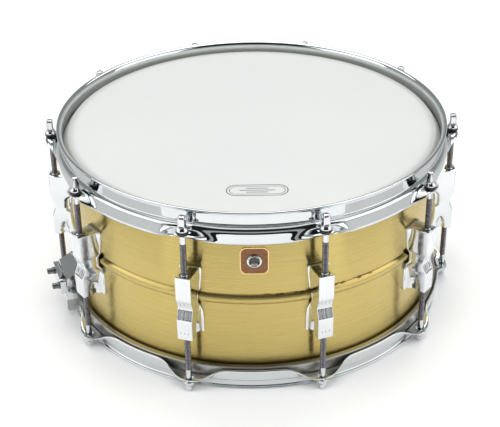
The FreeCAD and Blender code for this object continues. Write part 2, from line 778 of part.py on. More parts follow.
def make_clamp_screws(name, angle):
    """Two key screws, 27.5 mm apart, that pull a clamp plate home."""
    body = new_body(name)
    seat = "(clamp_face + strap_thick + 0.2 + clamp_thick)"
    sketch = new_sketch(body, "shank_outline", "YZ_Plane", {"z": "clamp_face - 6"})
    for sign in ("-", ""):
        circle(sketch, f"{sign}clamp_screw_side", "clamp_height", "2.1")
    feature(body, "Pad", "shanks", sketch, Length=f"{seat} - clamp_face + 7")
    heads = new_sketch(body, "head_outline", "YZ_Plane", {"z": seat})
    for sign in ("-", ""):
        circle(heads, f"{sign}clamp_screw_side", "clamp_height", "clamp_screw_radius + 0.7")
    feature(body, "Pad", "heads", heads, Length="1.5")
    keys = new_sketch(body, "key_outline", "YZ_Plane", {"z": f"{seat} + 1.4"})
    for sign in ("-", ""):
        circle(keys, f"{sign}clamp_screw_side", "clamp_height", "clamp_screw_radius")
    feature(body, "Pad", "keys", keys, Length=f"clamp_screw_end - {seat} - 1.4")
    turn_to(body, angle)


def saddle_cut(body):
    """Hollow the back of a fitting to the shell's curve."""
    saddle = new_sketch(body, "saddle_outline", "XY_Plane")
    circle(saddle, "0", "0", "shell_radius + 0.1")
    cut(body, "saddle", saddle, True, Type="ThroughAll", Midplane=True)


def mount_holes(body, heights):
    """Threaded holes in the back of a fitting for the screws from inside the shell."""
    holes = new_sketch(body, "mount_hole_outline", "YZ_Plane", {"z": "shell_radius - 5"})
    for height in heights:
        circle(holes, "0", height, "screw_radius + 0.05")
    cut(body, "mount_holes", holes, True, Length="9")


def make_butt_base(angle):
    """The fixed anchor of the snares: a block on the shell whose face the clamp plate meets."""
    body = new_body("butt_base")
    block = new_sketch(body, "block_outline", "XZ_Plane")
    outline(block, [
        ("shell_radius - 4", "clamp_height - clamp_half_tall - 5"),
        ("shell_radius + 4", "clamp_height - clamp_half_tall - 5"),
        ("clamp_face", "clamp_height - clamp_half_tall + 2"),
        ("clamp_face", "clamp_height + clamp_half_tall"),
        ("shell_radius + 4", "clamp_height + clamp_half_tall + 7"),
        ("shell_radius - 4", "clamp_height + clamp_half_tall + 7"),
    ])
    feature(body, "Pad", "block", block, Length="2 * clamp_half_wide", Midplane=True)
    saddle_cut(body)
    taps = new_sketch(body, "tap_outline", "YZ_Plane", {"z": "clamp_face + 1"})
    for sign in ("-", ""):
        circle(taps, f"{sign}clamp_screw_side", "clamp_height", "2.1")
    cut(body, "taps", taps, False, Length="8")
    slot = new_sketch(body, "slot_outline", "XZ_Plane")
    outline(slot, box_corners(
        "shell_radius + 5", "clamp_face - 2.5", "clamp_height - 20", "clamp_height + 1",
    ))
    cut(body, "under_slot", slot, True, Length="2 * strap_half_wide", Midplane=True)
    mount_holes(body, BUTT_SCREWS)
    turn_to(body, angle)


# ---------------------------------------------------------------- strainer


def make_strainer_base():
    """The strainer's fixed frame: a foot on the shell and two cheeks that guide the carriage."""
    body = new_body("strainer_base")
    foot = new_sketch(body, "foot_outline", "YZ_Plane", {"z": "shell_radius - 4"})
    wide, corner = "(cheek_side + cheek_wall)", 3.0
    outline(foot, [
        (f"-{wide} + {corner}", "cheek_low - 4"),
        (f"{wide} - {corner}", "cheek_low - 4", f"{corner}", 1),
        (wide, f"cheek_low - 4 + {corner}"),
        (wide, f"knob_low + 15 - {corner}", f"{corner}", 1),
        (f"{wide} - {corner}", "knob_low + 15"),
        (f"-{wide} + {corner}", "knob_low + 15", f"{corner}", 1),
        (f"-{wide}", f"knob_low + 15 - {corner}"),
        (f"-{wide}", f"cheek_low - 4 + {corner}", f"{corner}", 1),
    ])
    feature(body, "Pad", "foot", foot, Length="7")
    cheeks = new_sketch(body, "cheek_outline", "XZ_Plane")
    outline(cheeks, [
        ("shell_radius", "cheek_low"),
        ("clamp_face - 1", "cheek_low"),
        ("clamp_face + 1", "cheek_low + 3"),
        ("clamp_face + 1", "cheek_top - 8", "8", 1),
        ("clamp_face - 7", "cheek_top"),
        ("shell_radius", "cheek_top"),
    ])
    feature(body, "Pad", "cheeks", cheeks, Length=f"2 * {wide}", Midplane=True)
    channel = new_sketch(body, "channel_outline", "YZ_Plane", {"z": "clamp_face + 5"})
    outline(channel, box_corners("-cheek_side", "cheek_side", "cheek_low - 8", "knob_low + 22"))
    cut(body, "channel", channel, False, Length="clamp_face + 5 - shell_radius - 3")
    saddle_cut(body)
    pin = new_sketch(body, "pin_outline", "XZ_Plane")
    circle(pin, "pivot_radius", "pivot_height", "pin_radius + 0.02")
    cut(body, "pin_holes", pin, True, Length="60", Midplane=True)
    turned(body, "bead_arch", box_corners(
        "shell_radius - 5", "shell_radius + 2.7",
        "shell_low + bead_rise - bead_half - 1", "shell_low + bead_rise + bead_half + 1",
    ), kind="Groove")
    mount_holes(body, STRAINER_SCREWS)
    turn_to(body, size("snare_angle"))


def make_strainer_carriage():
    """The sliding carriage: its stem runs between the cheeks and its foot is the snares' anchor."""
    body = new_body("strainer_carriage")
    stem = new_sketch(body, "stem_outline", "XZ_Plane")
    outline(stem, box_corners("shell_radius + 3.3", "clamp_face", "cheek_low - 2", "knob_low - 2"))
    feature(body, "Pad", "stem", stem, Length="2 * (cheek_side - 0.2)", Midplane=True)
    foot = new_sketch(body, "foot_outline", "XZ_Plane")
    outline(foot, [
        ("shell_radius + 6", "clamp_height - clamp_half_tall"),
        ("clamp_face", "clamp_height - clamp_half_tall"),
        ("clamp_face", "clamp_height + clamp_half_tall"),
        ("shell_radius + 9", "clamp_height + clamp_half_tall"),
        ("shell_radius + 6", "clamp_height + clamp_half_tall - 3"),
    ])
    feature(body, "Pad", "foot", foot, Length="2 * clamp_half_wide", Midplane=True)
    neck = new_sketch(body, "neck_outline", "XZ_Plane")
    outline(neck, box_corners(
        "shell_radius + 9", "clamp_face", "clamp_height + clamp_half_tall - 1", "cheek_low - 1",
    ))
    feature(body, "Pad", "neck", neck, Length="2 * (cheek_side - 0.2)", Midplane=True)
    slot = new_sketch(body, "slot_outline", "XZ_Plane")
    outline(slot, box_corners(
        "pivot_radius - pin_radius - 0.3", "pivot_radius + pin_radius + 0.3",
        "pivot_height - pin_radius - 0.3", "pivot_height + pin_radius + carriage_travel + 0.6",
    ))
    cut(body, "pin_slot", slot, True, Length="60", Midplane=True)
    taps = new_sketch(body, "tap_outline", "YZ_Plane", {"z": "clamp_face + 1"})
    for sign in ("-", ""):
        circle(taps, f"{sign}clamp_screw_side", "clamp_height", "2.1")
    cut(body, "taps", taps, False, Length="8")
    screw = new_sketch(body, "screw_outline", "XY_Plane", {"z": "knob_low"})
    circle(screw, "pivot_radius - 3", "0", "2.05")
    cut(body, "screw_hole", screw, False, Length="7")
    turn_to(body, size("snare_angle"))


def make_strainer_knob():
    """The fine tension screw with its ribbed thumb knob, standing on the carriage's stem."""
    body = new_body("strainer_knob")
    turned(body, "knob", [
        ("0", "knob_low - 6"),
        ("2", "knob_low - 6"),
        ("2", "knob_low - 1.7"),
        ("4", "knob_low - 1.7"),
        ("4", "knob_low"),
        ("knob_radius - 0.6", "knob_low"),
        ("knob_radius", "knob_low + 0.6"),
        ("knob_radius", "knob_low + knob_tall - 1.5", "1.5", 1),
        ("knob_radius - 1.5", "knob_low + knob_tall"),
        ("0", "knob_low + knob_tall"),
    ], shift={"x": "pivot_radius - 3"})
    turn_to(body, size("snare_angle"))


def make_strainer_lever():
    """The throw lever: two arms outside the cheeks, joined by a curved thumb plate in front."""
    body = new_body("strainer_lever")
    half = "(cheek_side + cheek_wall + lever_gap + lever_wall)"
    front = "(clamp_face + 2)"
    side = new_sketch(body, "side_outline", "XZ_Plane")
    outline(side, [
        ("pivot_radius - 4", "pivot_height", "4", 1),
        ("pivot_radius + 4", "pivot_height"),
        (f"{front} + 2", "pivot_height + 16"),
        (f"{front} + 2", "lever_top - 14", "60", -1),
        (f"{front} + 5", "lever_top"),
        (f"{front} + 2.8", "lever_top", "60", 1),
        (f"{front}", "lever_top - 14"),
        (f"{front}", "knob_low + 16"),
        ("pivot_radius", "pivot_height + 14"),
    ])
    feature(body, "Pad", "plate", side, Length=f"2 * {half}", Midplane=True)
    inside = new_sketch(body, "inside_outline", "YZ_Plane", {"z": f"{front} + 12"})
    outline(inside, box_corners(
        f"-{half} + lever_wall", f"{half} - lever_wall", "pivot_height - 10", "knob_low + 17",
    ))
    cut(body, "inside", inside, False, Length="40")
    corners = new_sketch(body, "corner_outline", "YZ_Plane", {"z": f"{front} + 12"})
    for turn in ("", "-"):
        outline(corners, [
            (f"{turn}({half} + 1)", "lever_top + 1"),
            (f"{turn}({half} - 7)", "lever_top + 1"),
            (f"{turn}({half} - 7)", "lever_top"),
            (f"{turn}{half}", "lever_top - 12"),
            (f"{turn}({half} + 1)", "lever_top - 12"),
        ])
    cut(body, "corners", corners, False, Length="40")
    hole = new_sketch(body, "hole_outline", "XZ_Plane")
    circle(hole, "pivot_radius", "pivot_height", "pin_radius + 0.05")
    cut(body, "pin_hole", hole, True, Length="60", Midplane=True)
    turn_to(body, size("snare_angle"))


def make_strainer_pin():
    """The pin that the lever turns on, held in both cheeks."""
    body = new_body("strainer_pin")
    sketch = new_sketch(body, "pin_outline", "XZ_Plane")
    circle(sketch, "pivot_radius", "pivot_height", "pin_radius")
    length = "2 * (cheek_side + cheek_wall + lever_gap + lever_wall + 0.4)"
    feature(body, "Pad", "pin", sketch, Length=length, Midplane=True)
    turn_to(body, size("snare_angle"))


def make_mount_screws():
    """Four screws from inside the shell: two hold the butt, two hold the strainer."""
    body = new_body("fitting_screws")
    inside = "(shell_radius - shell_wall - 0.35)"
    reach = "shell_radius + 3"
    for name, turn, heights in (("strainer", "", STRAINER_SCREWS), ("butt", "-", BUTT_SCREWS)):
        for place, height in zip(("low", "top"), heights):
            turned(body, f"{name}_{place}", [
                (f"{turn}({inside} - 2.2)", "0"),
                (f"{turn}({reach})", "0"),
                (f"{turn}({reach})", "screw_radius"),
                (f"{turn}{inside}", "screw_radius"),
                (f"{turn}{inside}", "screw_head_radius"),
                (f"{turn}({inside} - 2.2)", "screw_head_radius"),
            ], axis="H_Axis", shift={"y": height})
    turn_to(body, size("snare_angle"))


# ---------------------------------------------------------------- build

make_shell()
make_badge()
make_vent_grommet()
for number, where in enumerate(ROD_ANGLES, start=1):
    make_lug_casing(number, where)
make_swivel_nuts()
make_lug_screws()
make_lug_washers()
make_rods()
make_rod_washers("top_rod_washers", BATTER_EAR_TOP)
make_rod_washers("bottom_rod_washers", f"({SNARE_EAR_LOW} - washer_thick)")
make_batter_rim()
make_snare_rim()
make_heads()
make_snare_wires()
make_end_plates()
make_strap("strainer_strap", size("snare_angle"), "clamp_height + clamp_half_tall - 1")
make_strap("butt_strap", size("snare_angle") + 180, "clamp_height + clamp_half_tall - 1")
make_butt_base(size("snare_angle") + 180)
make_clamp("butt_clamp", size("snare_angle") + 180)
make_clamp_screws("butt_clamp_screws", size("snare_angle") + 180)
make_strainer_base()
make_strainer_carriage()
make_clamp("strainer_clamp", size("snare_angle"))
make_clamp_screws("strainer_clamp_screws", size("snare_angle"))
make_strainer_knob()
make_strainer_lever()
make_strainer_pin()
make_mount_screws()
document.recompute()

for item in document.Objects:
    if "Invalid" in item.State or "Error" in item.State:
        raise SystemExit(f"{item.Name} is {item.State}")
for subpart in subparts:
    if subpart.Shape.isNull() or not subpart.Shape.isValid():
        raise SystemExit(f"{subpart.Label} has no valid shape")

os.makedirs("parts", exist_ok=True)
for subpart in subparts:
    subpart.Shape.exportStep(os.path.join("parts", f"{subpart.Label}.step"))
    print(f"{subpart.Label}: {len(subpart.Shape.Solids)} solids, {subpart.Shape.Volume:.0f} mm3")
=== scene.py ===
import math

import bmesh
import bpy
import numpy as np
from mathutils import Matrix, Quaternion, Vector


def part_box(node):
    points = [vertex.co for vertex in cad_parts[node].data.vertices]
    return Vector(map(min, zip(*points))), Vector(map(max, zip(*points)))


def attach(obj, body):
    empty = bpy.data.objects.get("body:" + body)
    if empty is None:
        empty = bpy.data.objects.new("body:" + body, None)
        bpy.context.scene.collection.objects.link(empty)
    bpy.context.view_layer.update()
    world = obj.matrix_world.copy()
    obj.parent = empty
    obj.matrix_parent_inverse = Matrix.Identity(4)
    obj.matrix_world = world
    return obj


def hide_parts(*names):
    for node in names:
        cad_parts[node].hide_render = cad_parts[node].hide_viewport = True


# A brass snare drum, built in millimetres in the CAD frame and stored in metres. An angle round the drum
# counts from the badge (-Y) towards +X. Pieces that repeat are drawn with "outwards" along +X.

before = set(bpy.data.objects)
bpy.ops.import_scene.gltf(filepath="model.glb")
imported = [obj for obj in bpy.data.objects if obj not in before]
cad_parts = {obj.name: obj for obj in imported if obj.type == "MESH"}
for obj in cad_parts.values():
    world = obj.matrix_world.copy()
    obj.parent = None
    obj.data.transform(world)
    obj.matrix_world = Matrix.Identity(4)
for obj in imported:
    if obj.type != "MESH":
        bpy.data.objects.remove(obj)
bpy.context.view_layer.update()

MM = 0.001
TURN = 2 * math.pi


# ---- sizes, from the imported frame


def low(node):
    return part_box(node)[0] / MM


def high(node):
    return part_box(node)[1] / MM


def middle(node):
    return (low(node) + high(node)) / 2


BEAD_BULGE = 2.5
SHELL_RADIUS = high("shell").x - BEAD_BULGE
SHELL_LOW = low("shell").z
SHELL_TOP = high("shell").z
SHELL_WALL = 1.2
BEAD_MIDDLE = (SHELL_LOW + SHELL_TOP) / 2
BEAD_HALF = 5.0
DRUM_TOP = high("batter_rim").z
ROD_CIRCLE = middle("tension_rod_top_03").x
ROD_PLACE = (ROD_CIRCLE, 0.0)
ROD_ANGLES = [18.0 + 36.0 * step for step in range(10)]
ROD_RADIUS = 2.75
LUG_LOW = low("lug_casing_03").z
LUG_TOP = high("lug_casing_03").z
LUG_FRONT = high("lug_casing_03").x
SNARE_ANGLE = 108.0
BUTT_ANGLE = SNARE_ANGLE + 180.0
VENT_HEIGHT = middle("vent_grommet").z
RIM_WALL = 2.3


# ---- mesh helpers


def turned(angle):
    """The matrix that takes a piece drawn with outwards along +X to its angle round the drum."""
    return Matrix.Rotation(math.radians(angle - 90.0), 4, "Z")


def smooth_step(share):
    share = min(max(share, 0.0), 1.0)
    return share * share * (3.0 - 2.0 * share)


def through(stations, where):
    """A smooth curve through (place, value) stations, read at one place."""
    places = [station[0] for station in stations]
    values = [station[1] for station in stations]
    if where <= places[0]:
        return values[0]
    if where >= places[-1]:
        return values[-1]
    index = max(i for i, place in enumerate(places) if place <= where)
    steps = [places[i + 1] - places[i] for i in range(len(places) - 1)]
    rises = [(values[i + 1] - values[i]) / steps[i] for i in range(len(steps))]

    def slope(i):
        if i == 0 or i == len(steps):
            return rises[min(i, len(rises) - 1)]
        if rises[i - 1] * rises[i] <= 0:
            return 0.0
        return 2 * rises[i - 1] * rises[i] / (rises[i - 1] + rises[i])

    share = (where - places[index]) / steps[index]
    square, cube = share * share, share ** 3
    return (
        values[index] * (2 * cube - 3 * square + 1)
        + steps[index] * slope(index) * (cube - 2 * square + share)
        + values[index + 1] * (3 * square - 2 * cube)
        + steps[index] * slope(index + 1) * (cube - square)
    )


def rounded(corners, steps=5):
    """A closed outline whose corners (x, y, radius) are turned into arcs."""
    points = []
    for index, (x, y, radius) in enumerate(corners):
        here = Vector((x, y))
        back = Vector(corners[index - 1][:2]) - here
        ahead = Vector(corners[(index + 1) % len(corners)][:2]) - here
        bend = back.angle(ahead)
        if radius <= 0 or bend > math.pi - 0.02:
            points.append((x, y))
            continue
        reach = min(radius / math.tan(bend / 2), 0.48 * back.length, 0.48 * ahead.length)
        start, end = here + back.normalized() * reach, here + ahead.normalized() * reach
        radius = reach * math.tan(bend / 2)
        centre = here + (back.normalized() + ahead.normalized()).normalized() * (radius / math.sin(bend / 2))
        first, last = start - centre, end - centre
        swing = first.angle_signed(last)
        for step in range(steps + 1):
            turn = -swing * step / steps
            spot = centre + Matrix.Rotation(turn, 2) @ first
            points.append((spot.x, spot.y))
    return points


def grid_faces(rows, columns, wrap_rows=False, wrap_columns=False):
    faces = []
    for row in range(rows if wrap_rows else rows - 1):
        for column in range(columns if wrap_columns else columns - 1):
            beside, above = (column + 1) % columns, (row + 1) % rows
            faces.append((row * columns + column, row * columns + beside,
                          above * columns + beside, above * columns + column))
    return faces


def lathe(outline, segments=96, centre=(0.0, 0.0)):
    """A closed (radius, height) outline turned about a vertical line through centre."""
    points = []
    for segment in range(segments):
        angle = TURN * segment / segments
        across, ahead = math.cos(angle), math.sin(angle)
        points.extend((centre[0] + radius * across, centre[1] + radius * ahead, height)
                      for radius, height in outline)
    return points, grid_faces(segments, len(outline), True, True)


def lathe_out(outline, height, segments=48):
    """A closed (distance out, radius) outline turned about a line that points outwards at one height."""
    points = []
    for segment in range(segments):
        angle = TURN * segment / segments
        for out, radius in outline:
            points.append((out, radius * math.cos(angle), height + radius * math.sin(angle)))
    return points, grid_faces(segments, len(outline), True, True)


def closed_tube(points, around):
    """Rings of points joined into a tube, with both ends closed."""
    faces = grid_faces(len(points) // around, around, wrap_columns=True)
    faces.append(tuple(range(around)))
    faces.append(tuple(range(len(points) - around, len(points))))
    return points, faces


def rounded_box(wide, tall, corner, steps=5):
    """A rectangle about the origin, wide and tall being half its sizes, with rounded corners."""
    corners = [(-wide, -tall, corner), (wide, -tall, corner), (wide, tall, corner), (-wide, tall, corner)]
    return rounded(corners, steps)


def prism(outline, start, end):
    """A level outline pushed from one height to another."""
    points = [(*spot, height) for height in (start, end) for spot in outline]
    return closed_tube(points, len(outline))


def moved(shape, matrix):
    points, faces = shape
    return [tuple(matrix @ Vector(spot)) for spot in points], faces


def joined(shapes):
    points, faces = [], []
    for more_points, more_faces in shapes:
        start = len(points)
        points.extend(more_points)
        faces.extend(tuple(start + index for index in face) for face in more_faces)
    return points, faces


def all_round(shape, angles=ROD_ANGLES):
    return joined([moved(shape, turned(angle)) for angle in angles])


def shade(mesh, sharp_degrees):
    """Smooth shading with every edge sharper than the limit kept crisp."""
    work = bmesh.new()
    work.from_mesh(mesh)
    bmesh.ops.remove_doubles(work, verts=work.verts, dist=2e-6)
    bmesh.ops.recalc_face_normals(work, faces=work.faces)
    limit = math.radians(sharp_degrees)
    for face in work.faces:
        face.smooth = True
    for edge in work.edges:
        edge.smooth = len(edge.link_faces) == 2 and edge.calc_face_angle(0.0) < limit
    work.to_mesh(mesh)
    work.free()


def add_object(name, data):
    made = bpy.data.objects.new(name, data)
    bpy.context.scene.collection.objects.link(made)
    return made


def make_object(name, shape, sharp_degrees=35.0):
    mesh = bpy.data.meshes.new(name)
    mesh.from_pydata([Vector(spot) * MM for spot in shape[0]], [], shape[1])
    shade(mesh, sharp_degrees)
    return add_object(name, mesh)


def carve(piece, cutter_shape, sharp_degrees):
    """Cut a shape out of a piece, and work the cut into its mesh."""
    cutter = make_object("cutter", cutter_shape)
    carving = piece.modifiers.new("carve", "BOOLEAN")
    carving.operation = "DIFFERENCE"
    carving.solver = "EXACT"
    carving.object = cutter
    bpy.context.view_layer.update()
    graph = bpy.context.evaluated_depsgraph_get()
    mesh = bpy.data.meshes.new_from_object(piece.evaluated_get(graph))
    piece.modifiers.clear()
    piece.data = mesh
    shade(mesh, sharp_degrees)
    bpy.data.objects.remove(cutter)


def soften(piece, width, segments):
    """Round a piece's hard edges."""
    edge = piece.modifiers.new("soft_edges", "BEVEL")
    edge.width = width * MM
    edge.segments = segments
    edge.limit_method = "ANGLE"
    edge.angle_limit = math.radians(32.0)
    edge.use_clamp_overlap = True
    edge.harden_normals = True


def finish_piece(piece, material, slot, body, nodes=()):
    """Paint a piece, hang it on its body and hide the CAD nodes that it stands for. The slot is not used."""
    piece.data.materials.clear()
    piece.data.materials.append(material)
    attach(piece, body)
    if nodes:
        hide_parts(*nodes)
    return piece


def add_piece(name, shape, sharp_degrees, *finish):
    """Make a piece from points and faces, and finish it."""
    return finish_piece(make_object(name, shape, sharp_degrees), *finish)


def add_softened(node, name, width, segments, *finish):
    """A piece with a CAD node's shape, its flat faces made whole so that its edges can be rounded."""
    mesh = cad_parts[node].data.copy()
    mesh.name = name
    mesh.materials.clear()
    work = bmesh.new()
    work.from_mesh(mesh)
    bmesh.ops.remove_doubles(work, verts=work.verts, dist=4e-6)
    bmesh.ops.dissolve_limit(work, angle_limit=math.radians(1.0), verts=work.verts, edges=work.edges)
    work.to_mesh(mesh)
    work.free()
    shade(mesh, 32.0)
    piece = add_object(name, mesh)
    soften(piece, width, segments)
    finish_piece(piece, *finish, [node])


# ---- materials


class Nodes:
    """A node tree, with short calls for its nodes."""

    def __init__(self, tree):
        self.tree = tree

    def node(self, kind, inputs=(), output=0, **settings):
        made = self.tree.nodes.new(f"ShaderNode{kind}")
        for setting, value in settings.items():
            setattr(made, setting, value)
        for socket, value in dict(inputs).items():
            self.give(made.inputs[socket], value)
        return made.outputs[output]

    def give(self, socket, value):
        if isinstance(value, bpy.types.NodeSocket):
            self.tree.links.new(value, socket)
        else:
            socket.default_value = value

    def math(self, operation, first, second=0.0):
        return self.node("Math", {0: first, 1: second}, operation=operation)

    def ramp(self, value, stops):
        made = self.tree.nodes.new("ShaderNodeValToRGB")
        elements = made.color_ramp.elements
        while len(elements) < len(stops):
            elements.new(0.5)
        for element, (position, colour) in zip(elements, stops):
            element.position = position
            element.color = (*colour, 1.0)
        self.give(made.inputs[0], value)
        return made.outputs[0]

    def between(self, value, start, end, low_value=0.0, high_value=1.0):
        return self.node("MapRange", {
            "Value": value, "From Min": start, "From Max": end, "To Min": low_value, "To Max": high_value,
        }, interpolation_type="SMOOTHSTEP")

    def mix(self, share, first, second):
        made = self.tree.nodes.new("ShaderNodeMix")
        made.data_type = "RGBA"
        self.give(made.inputs[0], share)
        self.give(made.inputs[6], first)
        self.give(made.inputs[7], second)
        return made.outputs[2]


class Paint(Nodes):
    """One material. Its patterns are laid out in the object's own coordinates."""

    def __init__(self, name, **constants):
        self.material = bpy.data.materials.new(name)
        self.material.use_nodes = True
        super().__init__(self.material.node_tree)
        self.shader = self.tree.nodes["Principled BSDF"]
        for socket, value in constants.items():
            self.shader.inputs[socket.replace("_", " ")].default_value = value
        self.place = self.node("TexCoord", output="Object")

    def stretched(self, scale):
        return self.node("Mapping", {"Vector": self.place, "Scale": scale})

    def noise(self, scale, detail=3.0, vector=None, roughness=0.5):
        return self.node("TexNoise", {
            "Vector": vector or self.place, "Scale": scale, "Detail": detail, "Roughness": roughness,
        })

    def colour(self, value):
        self.give(self.shader.inputs["Base Color"], value)

    def roughness(self, value):
        self.give(self.shader.inputs["Roughness"], value)

    def let_light_through(self, share, tint):
        """Mix in light that scatters through a thin sheet."""
        through_sheet = self.node("BsdfTranslucent", {"Color": tint})
        mixed = self.node("MixShader", {0: share, 1: self.shader.outputs[0], 2: through_sheet})
        self.give(self.tree.nodes["Material Output"].inputs["Surface"], mixed)

    def bump(self, height, depth_mm, strength=1.0, under=None):
        inputs = {"Height": height, "Distance": depth_mm * MM, "Strength": strength}
        if under is not None:
            inputs["Normal"] = under
        normal = self.node("Bump", inputs)
        self.give(self.shader.inputs["Normal"], normal)
        return normal


def chrome(name, tint, roughness, waviness_mm, grain_mm=0.0):
    """Plated metal: faint cloudiness in tone and gloss, and the slow waviness of the metal under it."""
    paint = Paint(name, Metallic=1.0)
    cloud = paint.noise(45.0, 4.0)
    darker = tuple(part * 0.93 for part in tint)
    paint.colour(paint.ramp(cloud, [(0.3, darker), (0.7, tint)]))
    smudge = paint.noise(160.0, 5.0)
    paint.roughness(paint.between(smudge, 0.35, 0.75, roughness, roughness * 2.2))
    waves = paint.bump(paint.noise(70.0, 2.0), waviness_mm)
    if grain_mm:
        paint.bump(paint.noise(1400.0, 2.0), grain_mm, under=waves)
    return paint.material


def brushed_brass():
    """Lacquered brass: fine scratches run round the shell, and dark polish is left along the bead's edge. A
    thin dark line of painted shade runs along the step at the bead's upper edge.
    """
    paint = Paint("brushed_brass", Metallic=1.0, Coat_Weight=0.25, Coat_Roughness=0.1, Anisotropic=0.93,
                  Anisotropic_Rotation=0.25)
    height = paint.node("SeparateXYZ", {0: paint.place}, output=2)
    fine = paint.noise(1.0, 3.0, paint.stretched((16.0, 16.0, 6500.0)), 0.7)
    broad = paint.noise(1.0, 4.0, paint.stretched((5.0, 5.0, 2200.0)), 0.6)
    cloud = paint.noise(7.0, 3.0)
    tone = paint.math("ADD", paint.math("MULTIPLY", fine, 0.5), paint.math("MULTIPLY", broad, 0.25))
    tone = paint.math("ADD", tone, paint.math("MULTIPLY", cloud, 0.25))
    metal = paint.ramp(tone, [
        (0.32, (0.52, 0.395, 0.120)), (0.47, (0.58, 0.448, 0.148)), (0.55, (0.61, 0.475, 0.165)),
        (0.72, (0.70, 0.565, 0.225)),
    ])
    edge = (BEAD_MIDDLE + BEAD_HALF + 0.35) * MM
    off_edge = paint.math("ABSOLUTE", paint.math("SUBTRACT", height, edge))
    patches = paint.noise(1.0, 5.0, paint.stretched((130.0, 130.0, 240.0)), 0.65)
    across = paint.node("SeparateXYZ", {0: paint.place}, output=0)
    ahead = paint.node("SeparateXYZ", {0: paint.place}, output=1)
    from_badge = paint.between(across, -0.004, 0.016)
    to_side = paint.between(across, 0.095, 0.125, 1.0, 0.0)
    in_front = paint.between(ahead, -0.02, -0.06)
    stretch = paint.math("MULTIPLY", paint.math("MULTIPLY", from_badge, to_side), in_front)
    reach = paint.between(patches, 0.44, 0.66, 0.0, 0.0014)
    near = paint.math("LESS_THAN", off_edge, reach)
    residue = paint.math("MULTIPLY", near, stretch)
    # painted shade: a thin dark line, (0.20, 0.125, 0.03), along the step where the bead's upper edge meets
    # the wall
    line = paint.math("MULTIPLY", paint.between(off_edge, 0.0002, 0.0008, 1.0, 0.0), 0.55)
    shadowed = paint.mix(line, metal, (0.20, 0.125, 0.03, 1.0))
    paint.colour(paint.mix(residue, shadowed, (0.20, 0.075, 0.022, 1.0)))
    paint.roughness(paint.between(tone, 0.35, 0.65, 0.30, 0.24))
    tangent = paint.node("Tangent", direction_type="RADIAL", axis="Z")
    paint.give(paint.shader.inputs["Tangent"], tangent)
    paint.bump(fine, 0.008, 0.5)
    return paint.material


def coated_film():
    """The batter head: sprayed white coating with a fine tooth, that lets some light through. Painted shade
    greys it towards its outer edge.
    """
    paint = Paint("coated_film", IOR=1.45)
    tooth = paint.noise(1900.0, 4.0, roughness=0.7)
    cloud = paint.noise(7.0, 4.0)
    flat = paint.node("VectorMath", {0: paint.place, 1: (1.0, 1.0, 0.0)}, operation="MULTIPLY")
    reach = paint.node("VectorMath", {0: flat}, output=1, operation="LENGTH")
    white = paint.ramp(cloud, [(0.3, (0.85, 0.86, 0.855)), (0.7, (0.88, 0.885, 0.88))])
    # painted shade: over its last few millimetres before the bearing edge the film greys to (0.62, 0.64,
    # 0.645), standing in for the shade inside the rim
    rim = paint.between(reach, (SHELL_RADIUS - 10) * MM, (SHELL_RADIUS - 3) * MM)
    paint.colour(paint.mix(rim, white, (0.62, 0.64, 0.645, 1.0)))
    paint.roughness(paint.between(tooth, 0.3, 0.7, 0.6, 0.85))
    paint.bump(tooth, 0.05, 0.5)
    paint.let_light_through(0.45, (0.95, 0.96, 0.95, 1.0))
    return paint.material


def clear_film():
    """The snare-side head: thin, hazy and smooth."""
    paint = Paint("clear_film", Alpha=0.6, IOR=1.5)
    haze = paint.noise(14.0, 5.0)
    paint.colour(paint.ramp(haze, [(0.3, (0.80, 0.81, 0.81)), (0.75, (0.9, 0.905, 0.9))]))
    paint.roughness(paint.between(haze, 0.3, 0.7, 0.18, 0.34))
    paint.bump(paint.noise(25.0, 2.0), 0.03)
    paint.let_light_through(0.4, (0.9, 0.9, 0.9, 1.0))
    return paint.material


def grained(name, scale, detail, tones, gloss, depth_mm, stops=(0.3, 0.7), **constants):
    """A material whose tone, gloss and tooth follow one fine noise, with one scale or three."""
    paint = Paint(name, **constants)
    if isinstance(scale, tuple):
        grain = paint.noise(1.0, detail, paint.stretched(scale))
    else:
        grain = paint.noise(scale, detail)
    paint.colour(paint.ramp(grain, list(zip(stops, tones))))
    paint.roughness(paint.between(grain, 0.3, 0.7, *gloss))
    paint.bump(grain, depth_mm)
    return paint.material


def satin_aluminium():
    """The flesh hoops: drawn aluminium with fine lines round it."""
    tones = ((0.40, 0.39, 0.36), (0.58, 0.57, 0.54))
    return grained("satin_aluminium", (20.0, 20.0, 3000.0), 3.0, tones, (0.28, 0.42), 0.01, Metallic=1.0)


def thread_steel():
    """The rods' threads: plated steel, coloured far darker than the metal is, as painted shade for the
    flanks that see each other.
    """
    # painted shade: these dark tones stand in for the shade in the thread's grooves
    tones = ((0.17, 0.16, 0.18), (0.28, 0.27, 0.30))
    return grained("thread_steel", 500.0, 4.0, tones, (0.22, 0.4), 0.01, Metallic=1.0)


def black_nylon():
    tones = ((0.006, 0.006, 0.007), (0.02, 0.02, 0.022))
    return grained("black_nylon", 900.0, 4.0, tones, (0.3, 0.5), 0.015, (0.3, 0.8), IOR=1.5)


def zinc_steel(name="zinc_steel", tint=(0.42, 0.42, 0.43)):
    tones = (tuple(part * 0.7 for part in tint), tint)
    return grained(name, 320.0, 5.0, tones, (0.24, 0.45), 0.02, Metallic=1.0)


def badge_copper():
    """The plate's field: dark copper, rubbed brighter in patches."""
    tones = ((0.17, 0.075, 0.035), (0.30, 0.15, 0.075))
    return grained("badge_copper", (160.0, 160.0, 900.0), 4.0, tones, (0.3, 0.5), 0.03,
                   Metallic=1.0, Coat_Weight=0.3, Coat_Roughness=0.15)


def badge_gold():
    tones = ((0.80, 0.50, 0.20), (0.95, 0.68, 0.34))
    return grained("badge_gold", 300.0, 4.0, tones, (0.2, 0.35), 0.01, Metallic=1.0)


